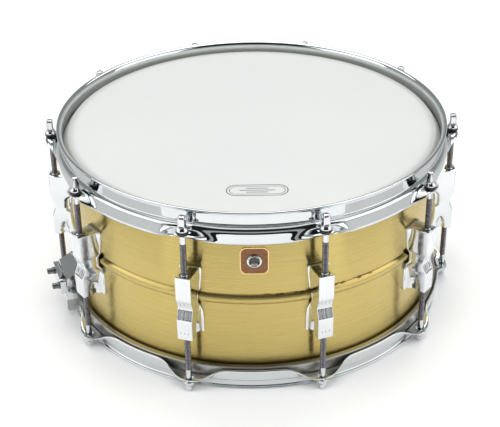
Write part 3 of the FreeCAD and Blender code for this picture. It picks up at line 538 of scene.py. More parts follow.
def strap_film():
    """The snare straps: milky plastic tape with a faint weave."""
    paint = Paint("strap_film", Alpha=0.6, IOR=1.5)
    weave = paint.node("TexWave", {"Vector": paint.place, "Scale": 700.0, "Distortion": 1.0})
    cloud = paint.noise(120.0, 4.0)
    paint.colour(paint.ramp(cloud, [(0.3, (0.80, 0.81, 0.82)), (0.7, (0.90, 0.905, 0.91))]))
    paint.roughness(paint.between(cloud, 0.3, 0.7, 0.3, 0.45))
    paint.bump(weave, 0.03)
    return paint.material


def print_ink():
    tones = ((0.02, 0.022, 0.028), (0.07, 0.075, 0.08))
    return grained("print_ink", 1200.0, 5.0, tones, (0.5, 0.7), 0.01, (0.35, 0.8), IOR=1.45)


def pale_floor():
    paint = Paint("pale_floor")
    cloud = paint.noise(3.0, 2.0)
    paint.colour(paint.ramp(cloud, [(0.3, (0.93, 0.93, 0.93)), (0.7, (0.95, 0.95, 0.95))]))
    paint.roughness(0.9)
    return paint.material


CHROME = (0.69, 0.715, 0.725)
rim_chrome = chrome("rim_chrome", CHROME, 0.035, 0.05)
cast_chrome = chrome("cast_chrome", (0.78, 0.795, 0.81), 0.05, 0.03, 0.004)
rod_chrome = chrome("rod_chrome", (0.74, 0.745, 0.76), 0.07, 0.01)
fitting_chrome = chrome("fitting_chrome", CHROME, 0.06, 0.03)
brass = brushed_brass()
coating = coated_film()
snare_film = clear_film()
hoop_metal = satin_aluminium()
thread_metal = thread_steel()
nylon = black_nylon()
fastener = zinc_steel()
dark_screw = zinc_steel("dark_screw", (0.22, 0.23, 0.24))
wire_metal = zinc_steel("wire_metal", (0.72, 0.71, 0.69))
copper_field = badge_copper()
gold_line = badge_gold()
strap_material = strap_film()
ink = print_ink()
floor_paint = pale_floor()


# ---- shell, badge and vent


def shell_outline():
    """The wall's section: rolled bearing edges, the bead, and the step where the bead meets the wall."""
    edge_drop, crest = 4.2, 174.6
    edge_turn = math.radians(62.0)
    arc_steps = 10
    bulge_radius = (BEAD_HALF ** 2 + BEAD_BULGE ** 2) / (2 * BEAD_BULGE)
    bead_centre = SHELL_RADIUS + BEAD_BULGE - bulge_radius

    def bearing_edge(level, way):
        points = []
        for step in range(arc_steps + 1):
            swing = edge_turn * step / arc_steps
            inwards = (1 - math.cos(swing)) / (1 - math.cos(edge_turn))
            towards = 1 - math.sin(swing) / math.sin(edge_turn)
            radius = SHELL_RADIUS - (SHELL_RADIUS - crest) * inwards
            points.append((radius, level + way * edge_drop * towards))
        return points

    def bead(offset):
        reach = math.asin(BEAD_HALF / bulge_radius)
        points = []
        for step in range(2 * arc_steps + 1):
            angle = -reach + 2 * reach * step / (2 * arc_steps)
            radius = bulge_radius + offset
            points.append((bead_centre + radius * math.cos(angle), BEAD_MIDDLE + radius * math.sin(angle)))
        return points

    inner = SHELL_RADIUS - SHELL_WALL
    lip = 6.5
    outer = bearing_edge(SHELL_LOW, 1)[::-1] + bead(0.0) + bearing_edge(SHELL_TOP, -1)

    def lip_line(level, way):
        return [
            (inner, level + way * (edge_drop + 0.4)), (crest - 0.2, level + way * 1.9),
            (crest - lip + 0.85, level + way * (lip + 0.85)), (crest - lip, level + way * lip),
        ]

    inside = lip_line(SHELL_TOP, -1)[::-1]
    inside.extend(reversed([(radius, height) for radius, height in bead(-SHELL_WALL) if radius > inner]))
    inside.extend(lip_line(SHELL_LOW, 1))
    return outer + inside


def build_shell():
    shell = make_object("shell_wall", lathe(shell_outline(), 360), 50.0)
    start, end, vent_radius = 150.0, 200.0, 5.7
    drill = lathe_out([(start, 0.0), (end, 0.0), (end, vent_radius), (start, vent_radius)], VENT_HEIGHT)
    carve(shell, moved(drill, turned(0.0)), 50.0)
    finish_piece(shell, brass, "brass_shell", "drum", ["shell"])


def badge_shape(inset, back, front):
    """The plain plate's outline at one inset, bent to the shell, from one radius to another."""
    wide, tall = high("badge").x - inset, (high("badge").z - low("badge").z) / 2 - inset
    outline = rounded_box(wide, tall, max(6.0 - inset, 1.0), 10)
    rings = []
    vent = 5.9
    for radius, share in ((back, 1.0), (front - 0.15, 1.0), (front, 0.985), (front, 0.0), (back, 0.0)):
        for across, up in outline:
            turn = math.atan2(up, across)
            spot_across = across * share + vent * math.cos(turn) * (1 - share)
            spot_up = up * share + vent * math.sin(turn) * (1 - share)
            swing = spot_across / SHELL_RADIUS
            rings.append((radius * math.cos(swing), radius * math.sin(swing), VENT_HEIGHT + spot_up))
    return rings, grid_faces(5, len(outline), True, True)


def build_badge():
    """A plain rounded plate: a raised bright border round a dark field, with no mark on it."""
    back = SHELL_RADIUS + 0.08
    front = -low("badge").y
    field = moved(badge_shape(0.9, back, front - 0.22), turned(0.0))
    add_piece("badge_field", field, 35.0, copper_field, "badge", "drum", ["badge"])
    outer = badge_shape(0.0, back, front)[0]
    inner = badge_shape(0.95, back, front)[0]
    count = len(outer) // 5
    rings = outer[:3 * count] + inner[2 * count:3 * count] + inner[:count]
    border = moved((rings, grid_faces(5, count, True, True)), turned(0.0))
    add_piece("badge_border", border, 35.0, gold_line, "badge", "drum")


def build_vent():
    """The chrome eyelet: a rolled flange outside, a tube through the wall and a flare inside."""
    out = -low("vent_grommet").y
    seat = out - 1.3
    inside = SHELL_RADIUS - SHELL_WALL - 1.2
    bore, tube, flange = 4.6, 5.6, 6.6
    corners = [
        (inside, bore, 0.3), (out - 0.2, bore + 0.1, 0.6), (out, bore + 0.7, 0.4),
        (seat + 0.75, flange - 0.25, 0.5), (seat + 0.05, flange, 0.2), (seat + 0.05, tube, 0.0),
        (inside + 0.8, tube, 0.0), (inside + 0.8, tube + 1.1, 0.3), (inside, tube + 1.1, 0.3),
    ]
    eyelet = moved(lathe_out(rounded(corners, 6), VENT_HEIGHT, 64), turned(0.0))
    add_piece("vent_eyelet", eyelet, 50.0, cast_chrome, "chrome_castings", "drum", ["vent_grommet"])


# ---- lugs


LUG_FOOT_EXTRA_LOW = 2.0
LUG_FOOT_EXTRA_TOP = 0.5
COLUMN_LOW = LUG_LOW + LUG_FOOT_EXTRA_LOW
COLUMN_TOP = LUG_TOP - LUG_FOOT_EXTRA_TOP
DIP = 3.6
DIP_DEEPEST = COLUMN_LOW + 29.4
RIBS_LOW = COLUMN_LOW + 20.5
DIP_END = COLUMN_LOW + 42.5


def lug_back(height):
    """How far out the casing's back is: on the shell, but lifted in an arch over the bead."""
    gap, arch = 0.1, 3.3
    off = abs(height - BEAD_MIDDLE)
    return SHELL_RADIUS + gap + arch * (1.0 - smooth_step((off - 4.5) / 5.0))


def lug_foot_half(height):
    """Half the width of the foot: wings at both ends and a waist under the bead."""
    return through([
        (LUG_LOW, 9.4), (LUG_LOW + 0.7, 10.4), (LUG_LOW + 2.2, 11.0), (LUG_LOW + 14, 10.9),
        (LUG_LOW + 22, 10.1), (LUG_LOW + 28, 7.6), (LUG_LOW + 31.5, 6.7), (LUG_LOW + 37, 7.2),
        (LUG_LOW + 44, 8.2), (LUG_TOP - 10, 9.6), (LUG_TOP - 2.2, 10.1), (LUG_TOP - 0.7, 9.8),
        (LUG_TOP, 9.2),
    ], height)


def lug_front(height):
    """The front face's reach: full at both ends, dipping just above the ribs."""
    return LUG_FRONT - DIP * through([
        (COLUMN_LOW, 0.08), (RIBS_LOW - 1.0, 0.0), (RIBS_LOW, 0.05), (DIP_DEEPEST - 0.5, 0.95),
        (DIP_DEEPEST + 0.4, 1.0), (DIP_DEEPEST + 6.5, 0.55), (DIP_END - 1.5, 0.02), (DIP_END, 0.0),
    ], height)


def notch(across, centre, half, depth):
    """The depth of one groove at a distance across the face."""
    off = abs(across - centre)
    return depth * (1.0 - smooth_step((off - half * 0.45) / (half * 0.7)))


def lug_face_depth(across, height):
    """The front face's relief: a sunk band cut into four ribs, and three fine lines above and below it."""
    depth = 0.0
    centres = (-3.4, 0.0, 3.4)
    if RIBS_LOW <= height <= DIP_DEEPEST:
        band_depth = 0.45
        for centre in centres:
            depth += notch(across, centre, 0.75, 1.1)
        return depth + band_depth
    for start, end in ((COLUMN_LOW + 6.0, RIBS_LOW - 3.5), (DIP_DEEPEST + 4.0, COLUMN_TOP - 3.0)):
        fade = smooth_step((height - start) / 1.2) * smooth_step((end - height) / 1.2)
        point = 1.0 - smooth_step(abs(height - start - 0.9) / 0.8)
        for centre in centres:
            depth += notch(across, centre, 0.45, 0.25 * fade + 0.5 * point)
    return depth


def lug_scoop(out, rise):
    """The arched hollow in each side of the lower end, open at the bottom."""
    tall = 14.0
    start, end = 5.4, 15.0
    half = (end - start) / 2 * math.sqrt(max(1.0 - (rise / tall) ** 2, 0.0))
    off = abs(out - (start + end) / 2)
    return 2.6 * smooth_step((half - off) / 2.4)


def lug_section(height):
    """Half of the casing's section at one height, from the middle of its back to the middle of its front."""
    back, half, front = lug_back(height), lug_foot_half(height), lug_front(height)
    at_column = min(max(height, COLUMN_LOW), COLUMN_TOP)
    front_half = 7.0
    side_slope = 0.07
    points = []
    for share in (0.0, 0.3, 0.6, 0.85, 1.0):
        points.append((math.sqrt(back ** 2 - (half * share) ** 2), half * share))
    edge_out = points[-1][0]
    points.extend([(edge_out + 0.3, half), (edge_out + 1.4, half - 0.02), (edge_out + 1.8, half - 0.15),
                   (edge_out + 2.0, half - 0.5)])
    cove_out = edge_out + 6.6 + 2.4 * smooth_step((RIBS_LOW - height) / 6.0)

    def side(out):
        return front_half + side_slope * (front - out)

    start_out, start_half = edge_out + 2.05, half - 0.8
    cove_steps = 8
    for step in range(1, cove_steps + 1):
        swing = step / cove_steps * math.pi / 2
        out = start_out + (cove_out - start_out) * (1 - math.cos(swing))
        wide = start_half + (side(cove_out) - start_half) * math.sin(swing)
        points.append((out, wide - lug_scoop(out - edge_out, at_column - COLUMN_LOW)))
    corner = 0.9
    side_steps = 14
    for step in range(1, side_steps + 1):
        out = cove_out + (front - corner - cove_out) * step / side_steps
        points.append((out, side(out) - lug_scoop(out - edge_out, at_column - COLUMN_LOW)))
    for swing in (30.0, 60.0, 90.0):
        turn = math.radians(swing)
        points.append((front - corner * (1 - math.sin(turn)), front_half - corner * (1 - math.cos(turn))))
    face_steps = 30
    for step in range(1, face_steps + 1):
        across = (front_half - corner) * (1 - step / face_steps)
        crown = 0.12 * (1 - (across / front_half) ** 2)
        points.append((front + crown - 0.12 - lug_face_depth(across, height), across))
    return points


def lug_shape():
    """The casing lofted through its sections, closed with softened ends."""
    heights = [COLUMN_LOW + 0.75 * step for step in range(int((COLUMN_TOP - COLUMN_LOW) / 0.75) + 1)]
    heights.extend([RIBS_LOW - 0.02, RIBS_LOW, DIP_DEEPEST, DIP_DEEPEST + 0.02, COLUMN_TOP])
    heights = sorted(set(round(height, 3) for height in heights))
    rows = []
    for height in heights:
        half = lug_section(height)
        whole = half + [(out, -across) for out, across in reversed(half[1:-1])]
        rows.append([(out, across, height) for out, across in whole])

    def end_cap(row, level, extra):
        """Rows that turn in from the last section to the end, with the foot's wings standing further."""
        caps = []
        middle_out = (SHELL_RADIUS + LUG_FRONT) / 2
        full = 0.4
        for inset, rise in ((0.12, 0.28), (0.4, full)):
            ring = []
            shrink = 1.0 - inset / 12.0
            for out, across, _ in row:
                wing = 1.0 - smooth_step((out - SHELL_RADIUS - 1.5) / 1.6)
                height = level + extra * wing * rise / full - math.copysign(full - rise, extra)
                ring.append((middle_out + (out - middle_out) * shrink, across * shrink, height))
            caps.append(ring)
        return caps

    low_caps = end_cap(rows[0], COLUMN_LOW, -LUG_FOOT_EXTRA_LOW)
    top_caps = end_cap(rows[-1], COLUMN_TOP, LUG_FOOT_EXTRA_TOP)
    first = [(out, across, height + 0.4) for out, across, height in rows[0]]
    last = [(out, across, height - 0.4) for out, across, height in rows[-1]]
    between = [row for row in rows[1:-1] if COLUMN_LOW + 0.5 < row[0][2] < COLUMN_TOP - 0.5]
    rows = low_caps[::-1] + [first] + between + [last] + top_caps
    count = len(rows[0])
    points = [spot for row in rows for spot in row]
    faces = grid_faces(len(rows), count, wrap_columns=True)
    faces.extend(zip_cap(0, count))
    faces.extend(zip_cap(len(points) - count, count))
    return points, faces


def zip_cap(start, count):
    """Close a section that is symmetric about its first point with a ladder of faces."""
    faces = []
    for step in range(count // 2):
        left, right = start + step, start + (count - step) % count
        next_left, next_right = start + step + 1, start + (count - step - 1) % count
        ladder = [left, next_left, next_right, right]
        faces.append(tuple(dict.fromkeys(ladder)))
    return [face for face in faces if len(face) > 2]


def build_lugs():
    bore = 4.5
    depth = 11.0
    drills = []
    for end, way in ((COLUMN_TOP, -1.0), (COLUMN_LOW, 1.0)):
        start, tip = end - 3 * way, end + depth * way
        drills.append(lathe([(0.0, start), (0.0, tip), (bore, tip), (bore, start)], 40, ROD_PLACE))
    pattern = make_object("lug_pattern", lug_shape(), 38.0)
    carve(pattern, joined(drills), 38.0)
    for number, angle in enumerate(ROD_ANGLES, start=1):
        mesh = pattern.data.copy()
        mesh.transform(turned(angle))
        lug = add_object(f"lug_{number:02d}", mesh)
        finish_piece(lug, cast_chrome, "chrome_castings", "drum", [f"lug_casing_{number:02d}"])
    bpy.data.objects.remove(pattern)


def build_nuts():
    """The necks of the swivel nuts, standing in the ends of every lug."""
    bore, body, neck = 2.85, 4.15, 3.8
    shapes = []
    for end, way in ((COLUMN_TOP, 1.0), (COLUMN_LOW, -1.0)):
        inside, proud = end - 9.0 * way, end + 1.4 * way
        corners = [
            (bore, inside, 0.0), (body, inside, 0.0), (body, end - 1.6 * way, 0.2),
            (neck, end - 1.0 * way, 0.2), (neck, proud, 0.55), (bore, proud, 0.25),
        ]
        shapes.append(lathe(rounded(corners, 4), 40, ROD_PLACE))
    nuts = all_round(joined(shapes))
    add_piece("swivel_nut_necks", nuts, 50.0, fitting_chrome, "chrome_castings", "drum", ["swivel_nuts"])


# ---- tension rods


THREAD_PITCH = 1.06
THREAD_DEPTH = 0.42


def thread_shape(start, end):
    """A real helical thread between two heights."""
    around = 20
    per_turn = 5
    rows = int(abs(end - start) / THREAD_PITCH * per_turn) + 1
    points = []
    for row in range(rows + 1):
        height = start + (end - start) * row / rows
        for column in range(around):
            share = column / around
            phase = (height / THREAD_PITCH - share) % 1.0
            radius = ROD_RADIUS - THREAD_DEPTH * (1.0 - abs(2 * phase - 1.0))
            angle = TURN * share
            points.append((ROD_CIRCLE + radius * math.cos(angle), radius * math.sin(angle), height))
    return closed_tube(points, around)


def key_shape(start, end):
    """A square key with rounded corners, a slight taper and a domed, bevelled end."""
    half = 3.1
    span = end - start
    rows = []
    stations = [
        (0.0, 1.30, 2.6), (0.05, 1.14, 1.9), (0.12, 1.04, 1.3), (0.22, 1.0, 1.0), (0.80, 0.95, 1.0),
        (0.90, 0.93, 1.1), (0.96, 0.86, 1.3), (0.99, 0.72, 1.5), (1.0, 0.5, 1.4), (1.0, 0.22, 0.6),
    ]
    for share, wide, corner in stations:
        outline = rounded_box(half * wide, half * wide, corner)
        rows.extend((ROD_CIRCLE + x, y, start + span * share) for x, y in outline)
    return closed_tube(rows, len(rows) // len(stations))


def build_rod(number, angle, side, way):
    """One rod: key head, bearing collar, plain shank near the rim and thread to the lug."""
    node = f"tension_rod_{side}_{number:02d}"
    outer, inner = (high, low) if side == "top" else (low, high)
    seat, end, tip = outer(f"{side}_rod_washers").z, outer(node).z, inner(node).z
    collar, bearing, plain = (3.4, 5.2, 12.6) if side == "top" else (2.4, 4.6, 15.0)
    thread_start = seat - way * plain
    core = ROD_RADIUS - 0.06
    corners = [
        (0.0, seat + way * 0.02, 0.0), (bearing, seat + way * 0.02, 0.35),
        (bearing, seat + way * collar * 0.36, 0.5), (4.3, seat + way * collar * 0.75, 0.6),
        (3.9, seat + way * collar, 0.3), (0.0, seat + way * collar, 0.0),
    ]
    head = joined([
        lathe(rounded(corners, 4), 48, ROD_PLACE),
        key_shape(seat + way * collar * 0.85, end),
        lathe([(0.0, thread_start), (core, thread_start), (core, seat + way * 0.5), (0.0, seat + way * 0.5)],
              32, ROD_PLACE),
    ])
    head = moved(head, turned(angle))
    add_piece(f"rod_{side}_{number:02d}", head, 40.0, rod_chrome, "chrome_rods", node, [node])
    thread = moved(thread_shape(thread_start, tip), turned(angle))
    add_piece(f"rod_thread_{side}_{number:02d}", thread, 70.0, thread_metal, "chrome_rods", node)


def build_rods():
    for side, way in (("top", 1.0), ("bottom", -1.0)):
        for number, angle in enumerate(ROD_ANGLES, start=1):
            build_rod(number, angle, side, way)


def build_rod_washers(node, material, slot, reach):
    """Ten washers with rounded rims, one under every rod's collar."""
    hole, bottom, top = 3.05, low(node).z, high(node).z
    corners = [(hole, bottom, 0.2), (reach, bottom, 0.7), (reach, top, 0.7), (hole, top, 0.2)]
    washers = all_round(lathe(rounded(corners, 5), 40, ROD_PLACE))
    add_piece(f"{node}_moulded", washers, 50.0, material, slot, "drum", [node])


# ---- rims


NECK_RADIUS = 180.95
SKIRT_RADIUS = 185.85
EAR_RADIUS = 198.3
LIP_REACH = 4.0
EAR_FLAT = 1.8
EAR_END = 12.0
EAR_FADE_POWER = 5
RIM_HOLE = 4.3


def flare(angle):
    """How far the skirt is bent out at this angle: 1 at an ear, 0 between the ears."""
    off = abs((angle + 36.0) % 36.0 - 18.0)
    share = min(max((off - EAR_FLAT) / (EAR_END - EAR_FLAT), 0.0), 1.0)
    return (1.0 - share ** 2) ** EAR_FADE_POWER


def rim_line(neck, skirt, ear_drop, bend):
    """The middle of the wall as (radius, depth below the lip): lip, neck, step, and skirt or ear."""
    lip = NECK_RADIUS + LIP_REACH
    upper = [
        (lip, 1.0), (lip - 1.3, 0.95), (NECK_RADIUS + 1.25, 1.4), (NECK_RADIUS + 0.25, 2.8),
        (NECK_RADIUS, 4.8), (NECK_RADIUS, (neck + 1.8) / 2), (NECK_RADIUS, neck - 3.2),
        (NECK_RADIUS + 0.3, neck - 1.4), (NECK_RADIUS + 1.35, neck - 0.5), (NECK_RADIUS + 2.65, neck),
    ]
    hanging = [(SKIRT_RADIUS - 0.65, neck + 0.9), (SKIRT_RADIUS, neck + 2.7)]
    hanging.extend((SKIRT_RADIUS, neck + share * skirt) for share in (0.45, 0.75, 1.0))
    ear = [
        (SKIRT_RADIUS - 1.1, neck + 1.4), (SKIRT_RADIUS - 0.2, neck + ear_drop - 0.6),
        (SKIRT_RADIUS + 1.3, neck + ear_drop), ((SKIRT_RADIUS + EAR_RADIUS) / 2, neck + ear_drop),
        (EAR_RADIUS, neck + ear_drop),
    ]
    lower = [(pr + (er - pr) * bend, pd + (ed - pd) * bend) for (pr, pd), (er, ed) in zip(hanging, ear)]
    return upper + lower


def rim_section(neck, skirt, ear_drop, bend):
    """The wall line thickened to both sides: the section's closed ring of control points."""
    line = np.array(rim_line(neck, skirt, ear_drop, bend))
    along = np.vstack([line[1:2] - line[0:1], line[2:] - line[:-2], line[-1:] - line[-2:-1]])
    along /= np.linalg.norm(along, axis=1, keepdims=True)
    across = np.column_stack([along[:, 1], -along[:, 0]]) * RIM_WALL / 2
    return np.vstack([line + across, (line - across)[::-1]])


def spline_around(poles, finer):
    """A closed uniform cubic B-spline through rows of control points, read at finer steps."""
    rows = []
    for index in range(len(poles)):
        four = [poles[(index + shift) % len(poles)] for shift in (-1, 0, 1, 2)]
        for step in range(finer):
            t = step / finer
            left, right = 3 * t ** 3 - 6 * t ** 2 + 4, -3 * t ** 3 + 3 * t ** 2 + 3 * t + 1
            weights = ((1 - t) ** 3, left, right, t ** 3)
            rows.append(sum(weight * four_part for weight, four_part in zip(weights, four)) / 6)
    return np.array(rows)


def rim_shape(neck, skirt, ear_drop, lip_height, way):
    """The rim's smooth skin: control sections every two degrees, splined both ways."""
    sections = []
    for step in range(180):
        angle = step * 2.0
        section = rim_section(neck, skirt, ear_drop, flare(angle))
        swing = math.radians(angle)
        radius, depth = section[:, 0], section[:, 1]
        sections.append(np.column_stack([
            radius * math.sin(swing), -radius * math.cos(swing), lip_height + way * depth,
        ]))
    skin = spline_around(np.array(sections), 4)
    skin = spline_around(np.swapaxes(skin, 0, 1), 2)
    skin[:, :, 2] = np.clip(skin[:, :, 2], 0.0, DRUM_TOP)
    rows, columns = skin.shape[:2]
    return skin.reshape(-1, 3).tolist(), grid_faces(rows, columns, True, True)


def ear_drills(level):
    """Cutters for the rods' holes in the ears at one height."""
    start, end = level - 6.0, level + 6.0
    outline = [(0.0, start), (RIM_HOLE, start), (RIM_HOLE, end), (0.0, end)]
    return all_round(lathe(outline, 40, ROD_PLACE))


def build_rims():
    """Both drawn rims; the lower one has two gates for the snare straps."""
    batter_neck, batter_skirt, batter_drop = 15.8, 14.8, 4.0
    snare_neck, snare_skirt, snare_drop = 10.5, 12.1, 2.0
    batter_shape = rim_shape(batter_neck, batter_skirt, batter_drop, DRUM_TOP, -1.0)
    batter = make_object("batter_rim_drawn", batter_shape, 60.0)
    carve(batter, ear_drills(DRUM_TOP - batter_neck - batter_drop), 60.0)
    finish_piece(batter, rim_chrome, "chrome_rims", "drum", ["batter_rim"])
    snare = make_object("snare_rim_drawn", rim_shape(snare_neck, snare_skirt, snare_drop, 0.0, 1.0), 60.0)
    gate_half, gate_floor, gate_top = 24.0, 3.0, 43.0
    near, far = 172.0, 202.0
    gate = prism([(near, -gate_half), (far, -gate_half), (far, gate_half), (near, gate_half)],
                 gate_floor, gate_top)
    gates = all_round(gate, (SNARE_ANGLE, BUTT_ANGLE))
    carve(snare, joined([ear_drills(snare_neck + snare_drop), gates]), 60.0)
    finish_piece(snare, rim_chrome, "chrome_rims", "drum", ["snare_rim"])


# ---- heads


def build_head(node, name, way, material, slot):
    """The film: level over the bearing edge, then down its collar into the flesh hoop."""
    outer, inner = (high, low) if way > 0 else (low, high)
    level, tip = outer(node).z, inner(node).z
    film = 0.4
    crest = 174.9
    collar = high(node).x - film
    hoop = high("batter_flesh_hoop").z + 2.3 if way > 0 else low("snare_flesh_hoop").z - 0.1
    outside = [
        (0.0, level, 0.0), (crest, level, 2.2), (collar + film, hoop, 1.0), (collar + film, tip, 0.0),
        (collar, tip, 0.0), (collar, hoop, 1.0), (crest, level - way * film, 2.0),
        (0.0, level - way * film, 0.0),
    ]
    outline = rounded(outside, 6)
    rings = [(radius, outline[0][1]) for radius in (40.0, 80.0, 120.0, 160.0)]
    under = [(radius, outline[-1][1]) for radius in (160.0, 120.0, 80.0, 40.0)]
    head = lathe(outline[:1] + rings + outline[1:-1] + under + outline[-1:], 240)
    add_piece(name, head, 60.0, material, slot, "drum", [node])


def build_flesh_hoop(node, name, mouth_up):
    """The channel with a rolled top bead that the film goes into."""
    inner = SHELL_RADIUS + 2.0
    outer, bottom, top = high(node).x, low(node).z, high(node).z
    ends = (bottom, top) if mouth_up else (top, bottom)
    half_way = (bottom + top) / 2
    corners = [
        (inner, ends[0], 0.6), (outer, ends[0], 0.9), (outer, ends[1], 1.1), (outer - 2.9, ends[1], 0.4),
        (outer - 3.0, half_way, 0.0), (outer - 3.7, half_way, 0.0), (outer - 3.7, ends[1], 0.3),
        (inner, ends[1], 0.4),
    ]
    hoop = lathe(rounded(corners, 5), 360)
    add_piece(name, hoop, 50.0, hoop_metal, "flesh_aluminium", "drum", [node])


def build_print():
    """A plain printed outline on the head, with no letters in it."""
    level = high("batter_head").z
    centre = Vector((3.5, -131.0, level))
    thick, lift = 0.03, 0.005
    shapes = []
    for half_wide, half_tall, line in ((27.0, 9.6, 0.8), (24.4, 7.0, 0.5)):
        outer, inner = [rounded_box(half_wide - inset, half_tall - inset, (half_tall - inset) * 0.98, 14)
                        for inset in (0.0, line)]
        rings = []
        for outline, height in ((outer, 0.0), (outer, thick), (inner, thick), (inner, 0.0)):
            rings.extend((centre.x + x, centre.y + y, centre.z + height + lift) for x, y in outline)
        shapes.append((rings, grid_faces(4, len(outer), True, True)))
    for shift, half_wide in ((3.4, 9.5), (0.0, 15.5), (-3.4, 9.5)):
        bar = [(centre.x + x, centre.y + shift + y) for x, y in rounded_box(half_wide, 0.45, 0.4, 4)]
        shapes.append(prism(bar, centre.z + lift, centre.z + thick))
    add_piece("head_print", joined(shapes), 35.0, ink, "coated_film", "drum")


# ---- snares


STRAND_RADIUS = 0.95


def coil_shape(offset, half_length, height):
    """One strand: a wire wound into a coil that runs straight across the head."""
    wire, pitch = 0.24, 1.7
    coil = STRAND_RADIUS - wire
    around, section = 8, 4
    steps = int(2 * half_length / pitch * around)
    points = []
    for step in range(steps + 1):
        along = -half_length + 2 * half_length * step / steps
        turn = TURN * step / around
        for corner in range(section):
            swing = TURN * (corner + 0.5) / section
            radius = coil + wire * math.cos(swing)
            points.append((along + wire * math.sin(swing), offset + radius * math.cos(turn),
                           height + radius * math.sin(turn)))
    return closed_tube(points, section)


def build_snares():
    """Twenty strands on two end plates."""
    bottom, top = low("snare_wires").z, high("snare_wires").z
    count, pitch, half_length = 20, 2.15, 147.0
    strands = [coil_shape((step - (count - 1) / 2) * pitch, half_length, (bottom + top) / 2)
               for step in range(count)]
    wires = moved(joined(strands), turned(SNARE_ANGLE))
    add_piece("snare_coils", wires, 80.0, wire_metal, "snare_steel", "snares", ["snare_wires"])
    add_softened("snare_end_plates", "snare_plates", 0.25, 3, wire_metal, "snare_steel", "snares")


def build_straps():
    """The tapes between the snares and the two clamps."""
    for node, body in (("strainer_strap", "strainer_carriage"), ("butt_strap", "drum")):
        add_softened(node, f"{node}_tape", 0.15, 2, strap_material, "strap_plastic", body)


# ---- butt and strainer


def build_fittings():
    """The cast and pressed pieces, with their hard edges rounded."""
    pieces = (
        ("butt_base", "drum", 2.4), ("butt_clamp", "drum", 0.7), ("strainer_base", "drum", 0.7),
        ("strainer_carriage", "strainer_carriage", 0.5), ("strainer_clamp", "strainer_carriage", 0.7),
        ("strainer_lever", "strainer_lever", 0.6),
    )
    for node, body, width in pieces:
        add_softened(node, f"{node}_cast", width, 3, fitting_chrome, "chrome_fittings", body)


def build_clamp_screws():
    """Key screws: a washer face, a narrower drum and a dished end."""
    face, end = 200.4, 207.5
    height, apart = 42.5, 13.75
    for side, angle, body in (("butt", BUTT_ANGLE, "drum"), ("strainer", SNARE_ANGLE, "strainer_carriage")):
        node = f"{side}_clamp_screws"
        corners = [
            (face - 10.0, 0.0, 0.0), (face - 10.0, 2.0, 0.3), (face, 2.0, 0.0), (face, 3.55, 0.2),
            (face + 1.4, 3.55, 0.4), (face + 1.8, 2.9, 0.3), (end - 0.2, 2.85, 0.7), (end, 1.7, 0.3),
            (end - 1.2, 1.3, 0.2), (end - 1.2, 0.0, 0.0),
        ]
        shape = lathe_out(rounded(corners, 4), height, 40)
        shapes = [moved(shape, Matrix.Translation((0.0, shift, 0.0))) for shift in (-apart, apart)]
        screws = moved(joined(shapes), turned(angle))
        add_piece(f"{node}_turned", screws, 40.0, dark_screw, "fastener_steel", body, [node])


def build_knob():
    """The fine-tuning knob: straight ribs round its side and a dished top."""
    stem, out = 6.0, 187.0
    groove = 0.35
    bottom, top = low("strainer_knob").z + stem, high("strainer_knob").z
    ribs, per_rib = 24, 6
    around = ribs * per_rib
    stations = [
        (-stem, 2.0, 0.0), (-1.7, 2.0, 0.0), (-1.7, 4.0, 0.0), (0.0, 4.0, 0.0), (0.0, 5.9, 0.0),
        (0.5, 6.7, 0.5), (1.1, 7.0, 1.0), (7.6, 7.0, 1.0), (8.4, 6.7, 0.5), (8.9, 6.1, 0.0),
        (9.0, 5.4, 0.0), (8.6, 4.6, 0.0), (8.4, 2.5, 0.0),
    ]
    points = []
    for rise, radius, ribbed in stations:
        for step in range(around):
            angle = TURN * step / around
            wave = groove * ribbed * (0.5 - 0.5 * math.cos(ribs * angle))
            reach = radius - wave
            points.append((out + reach * math.cos(angle), reach * math.sin(angle), min(bottom + rise, top)))
    node = "strainer_knob"
    knob = moved(closed_tube(points, around), turned(SNARE_ANGLE))
    add_piece("strainer_knob_ribbed", knob, 45.0, fitting_chrome, "chrome_fittings", node, [node])


def build_pin():
    """The lever's pivot, through the bracket's cheeks and both sides of the lever."""
    cheek_side, cheek_wall, gap, lever_wall, proud = 10.5, 2.4, 0.3, 2.0, 0.4
    reach = cheek_side + cheek_wall + gap + lever_wall + proud
    pivot_out, pivot_height = 190.0, 78.5
    radius = 1.95
    corners = [(0.0, -reach, 0.0), (radius, -reach, 0.5), (radius, reach, 0.5), (0.0, reach, 0.0)]
    points, faces = lathe(rounded(corners, 4), 32)
    lying = [(pivot_out + x, z, pivot_height + y) for x, y, z in points]
    pin = moved((lying, faces), turned(SNARE_ANGLE))
    add_piece("strainer_pin_turned", pin, 50.0, fastener, "fastener_steel", "drum", ["strainer_pin"])


def dress_plain_nodes():
    """Fasteners inside the shell keep their CAD shape and get plated steel."""
    for node in ("lug_screws", "lug_screw_washers", "fitting_screws"):
        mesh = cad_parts[node].data
        mesh.materials.clear()
        mesh.materials.append(fastener)


# ---- studio


def build_floor():
    """A pale floor, just under the lower rim."""
    size, thick, gap = 3000.0, 20.0, 0.02
    corners = [(-size, -size), (size, -size), (size, size), (-size, size)]
    floor = make_object("floor", prism(corners, -thick, -gap))
    floor.data.materials.append(floor_paint)


def reflected_card(name, inner, outer, start, end, level, tone):
    """A sector of floor between two angles that only polished metal sees: where the white table ends."""
    segments = 48
    points = []
    for radius in (inner, outer):
        for segment in range(segments + 1):
            angle = math.radians(-90.0 + start + (end - start) * segment / segments)
            points.append((radius * math.cos(angle), radius * math.sin(angle), level))
    card = make_object(name, (points, grid_faces(2, segments + 1)))
    paint = Paint(name, Roughness=1.0, Specular_IOR_Level=0.0)
    paint.colour((tone, tone, tone, 1.0))
    card.data.materials.append(paint.material)
    for ray in ("camera", "diffuse", "shadow", "transmission"):
        setattr(card, f"visible_{ray}", False)


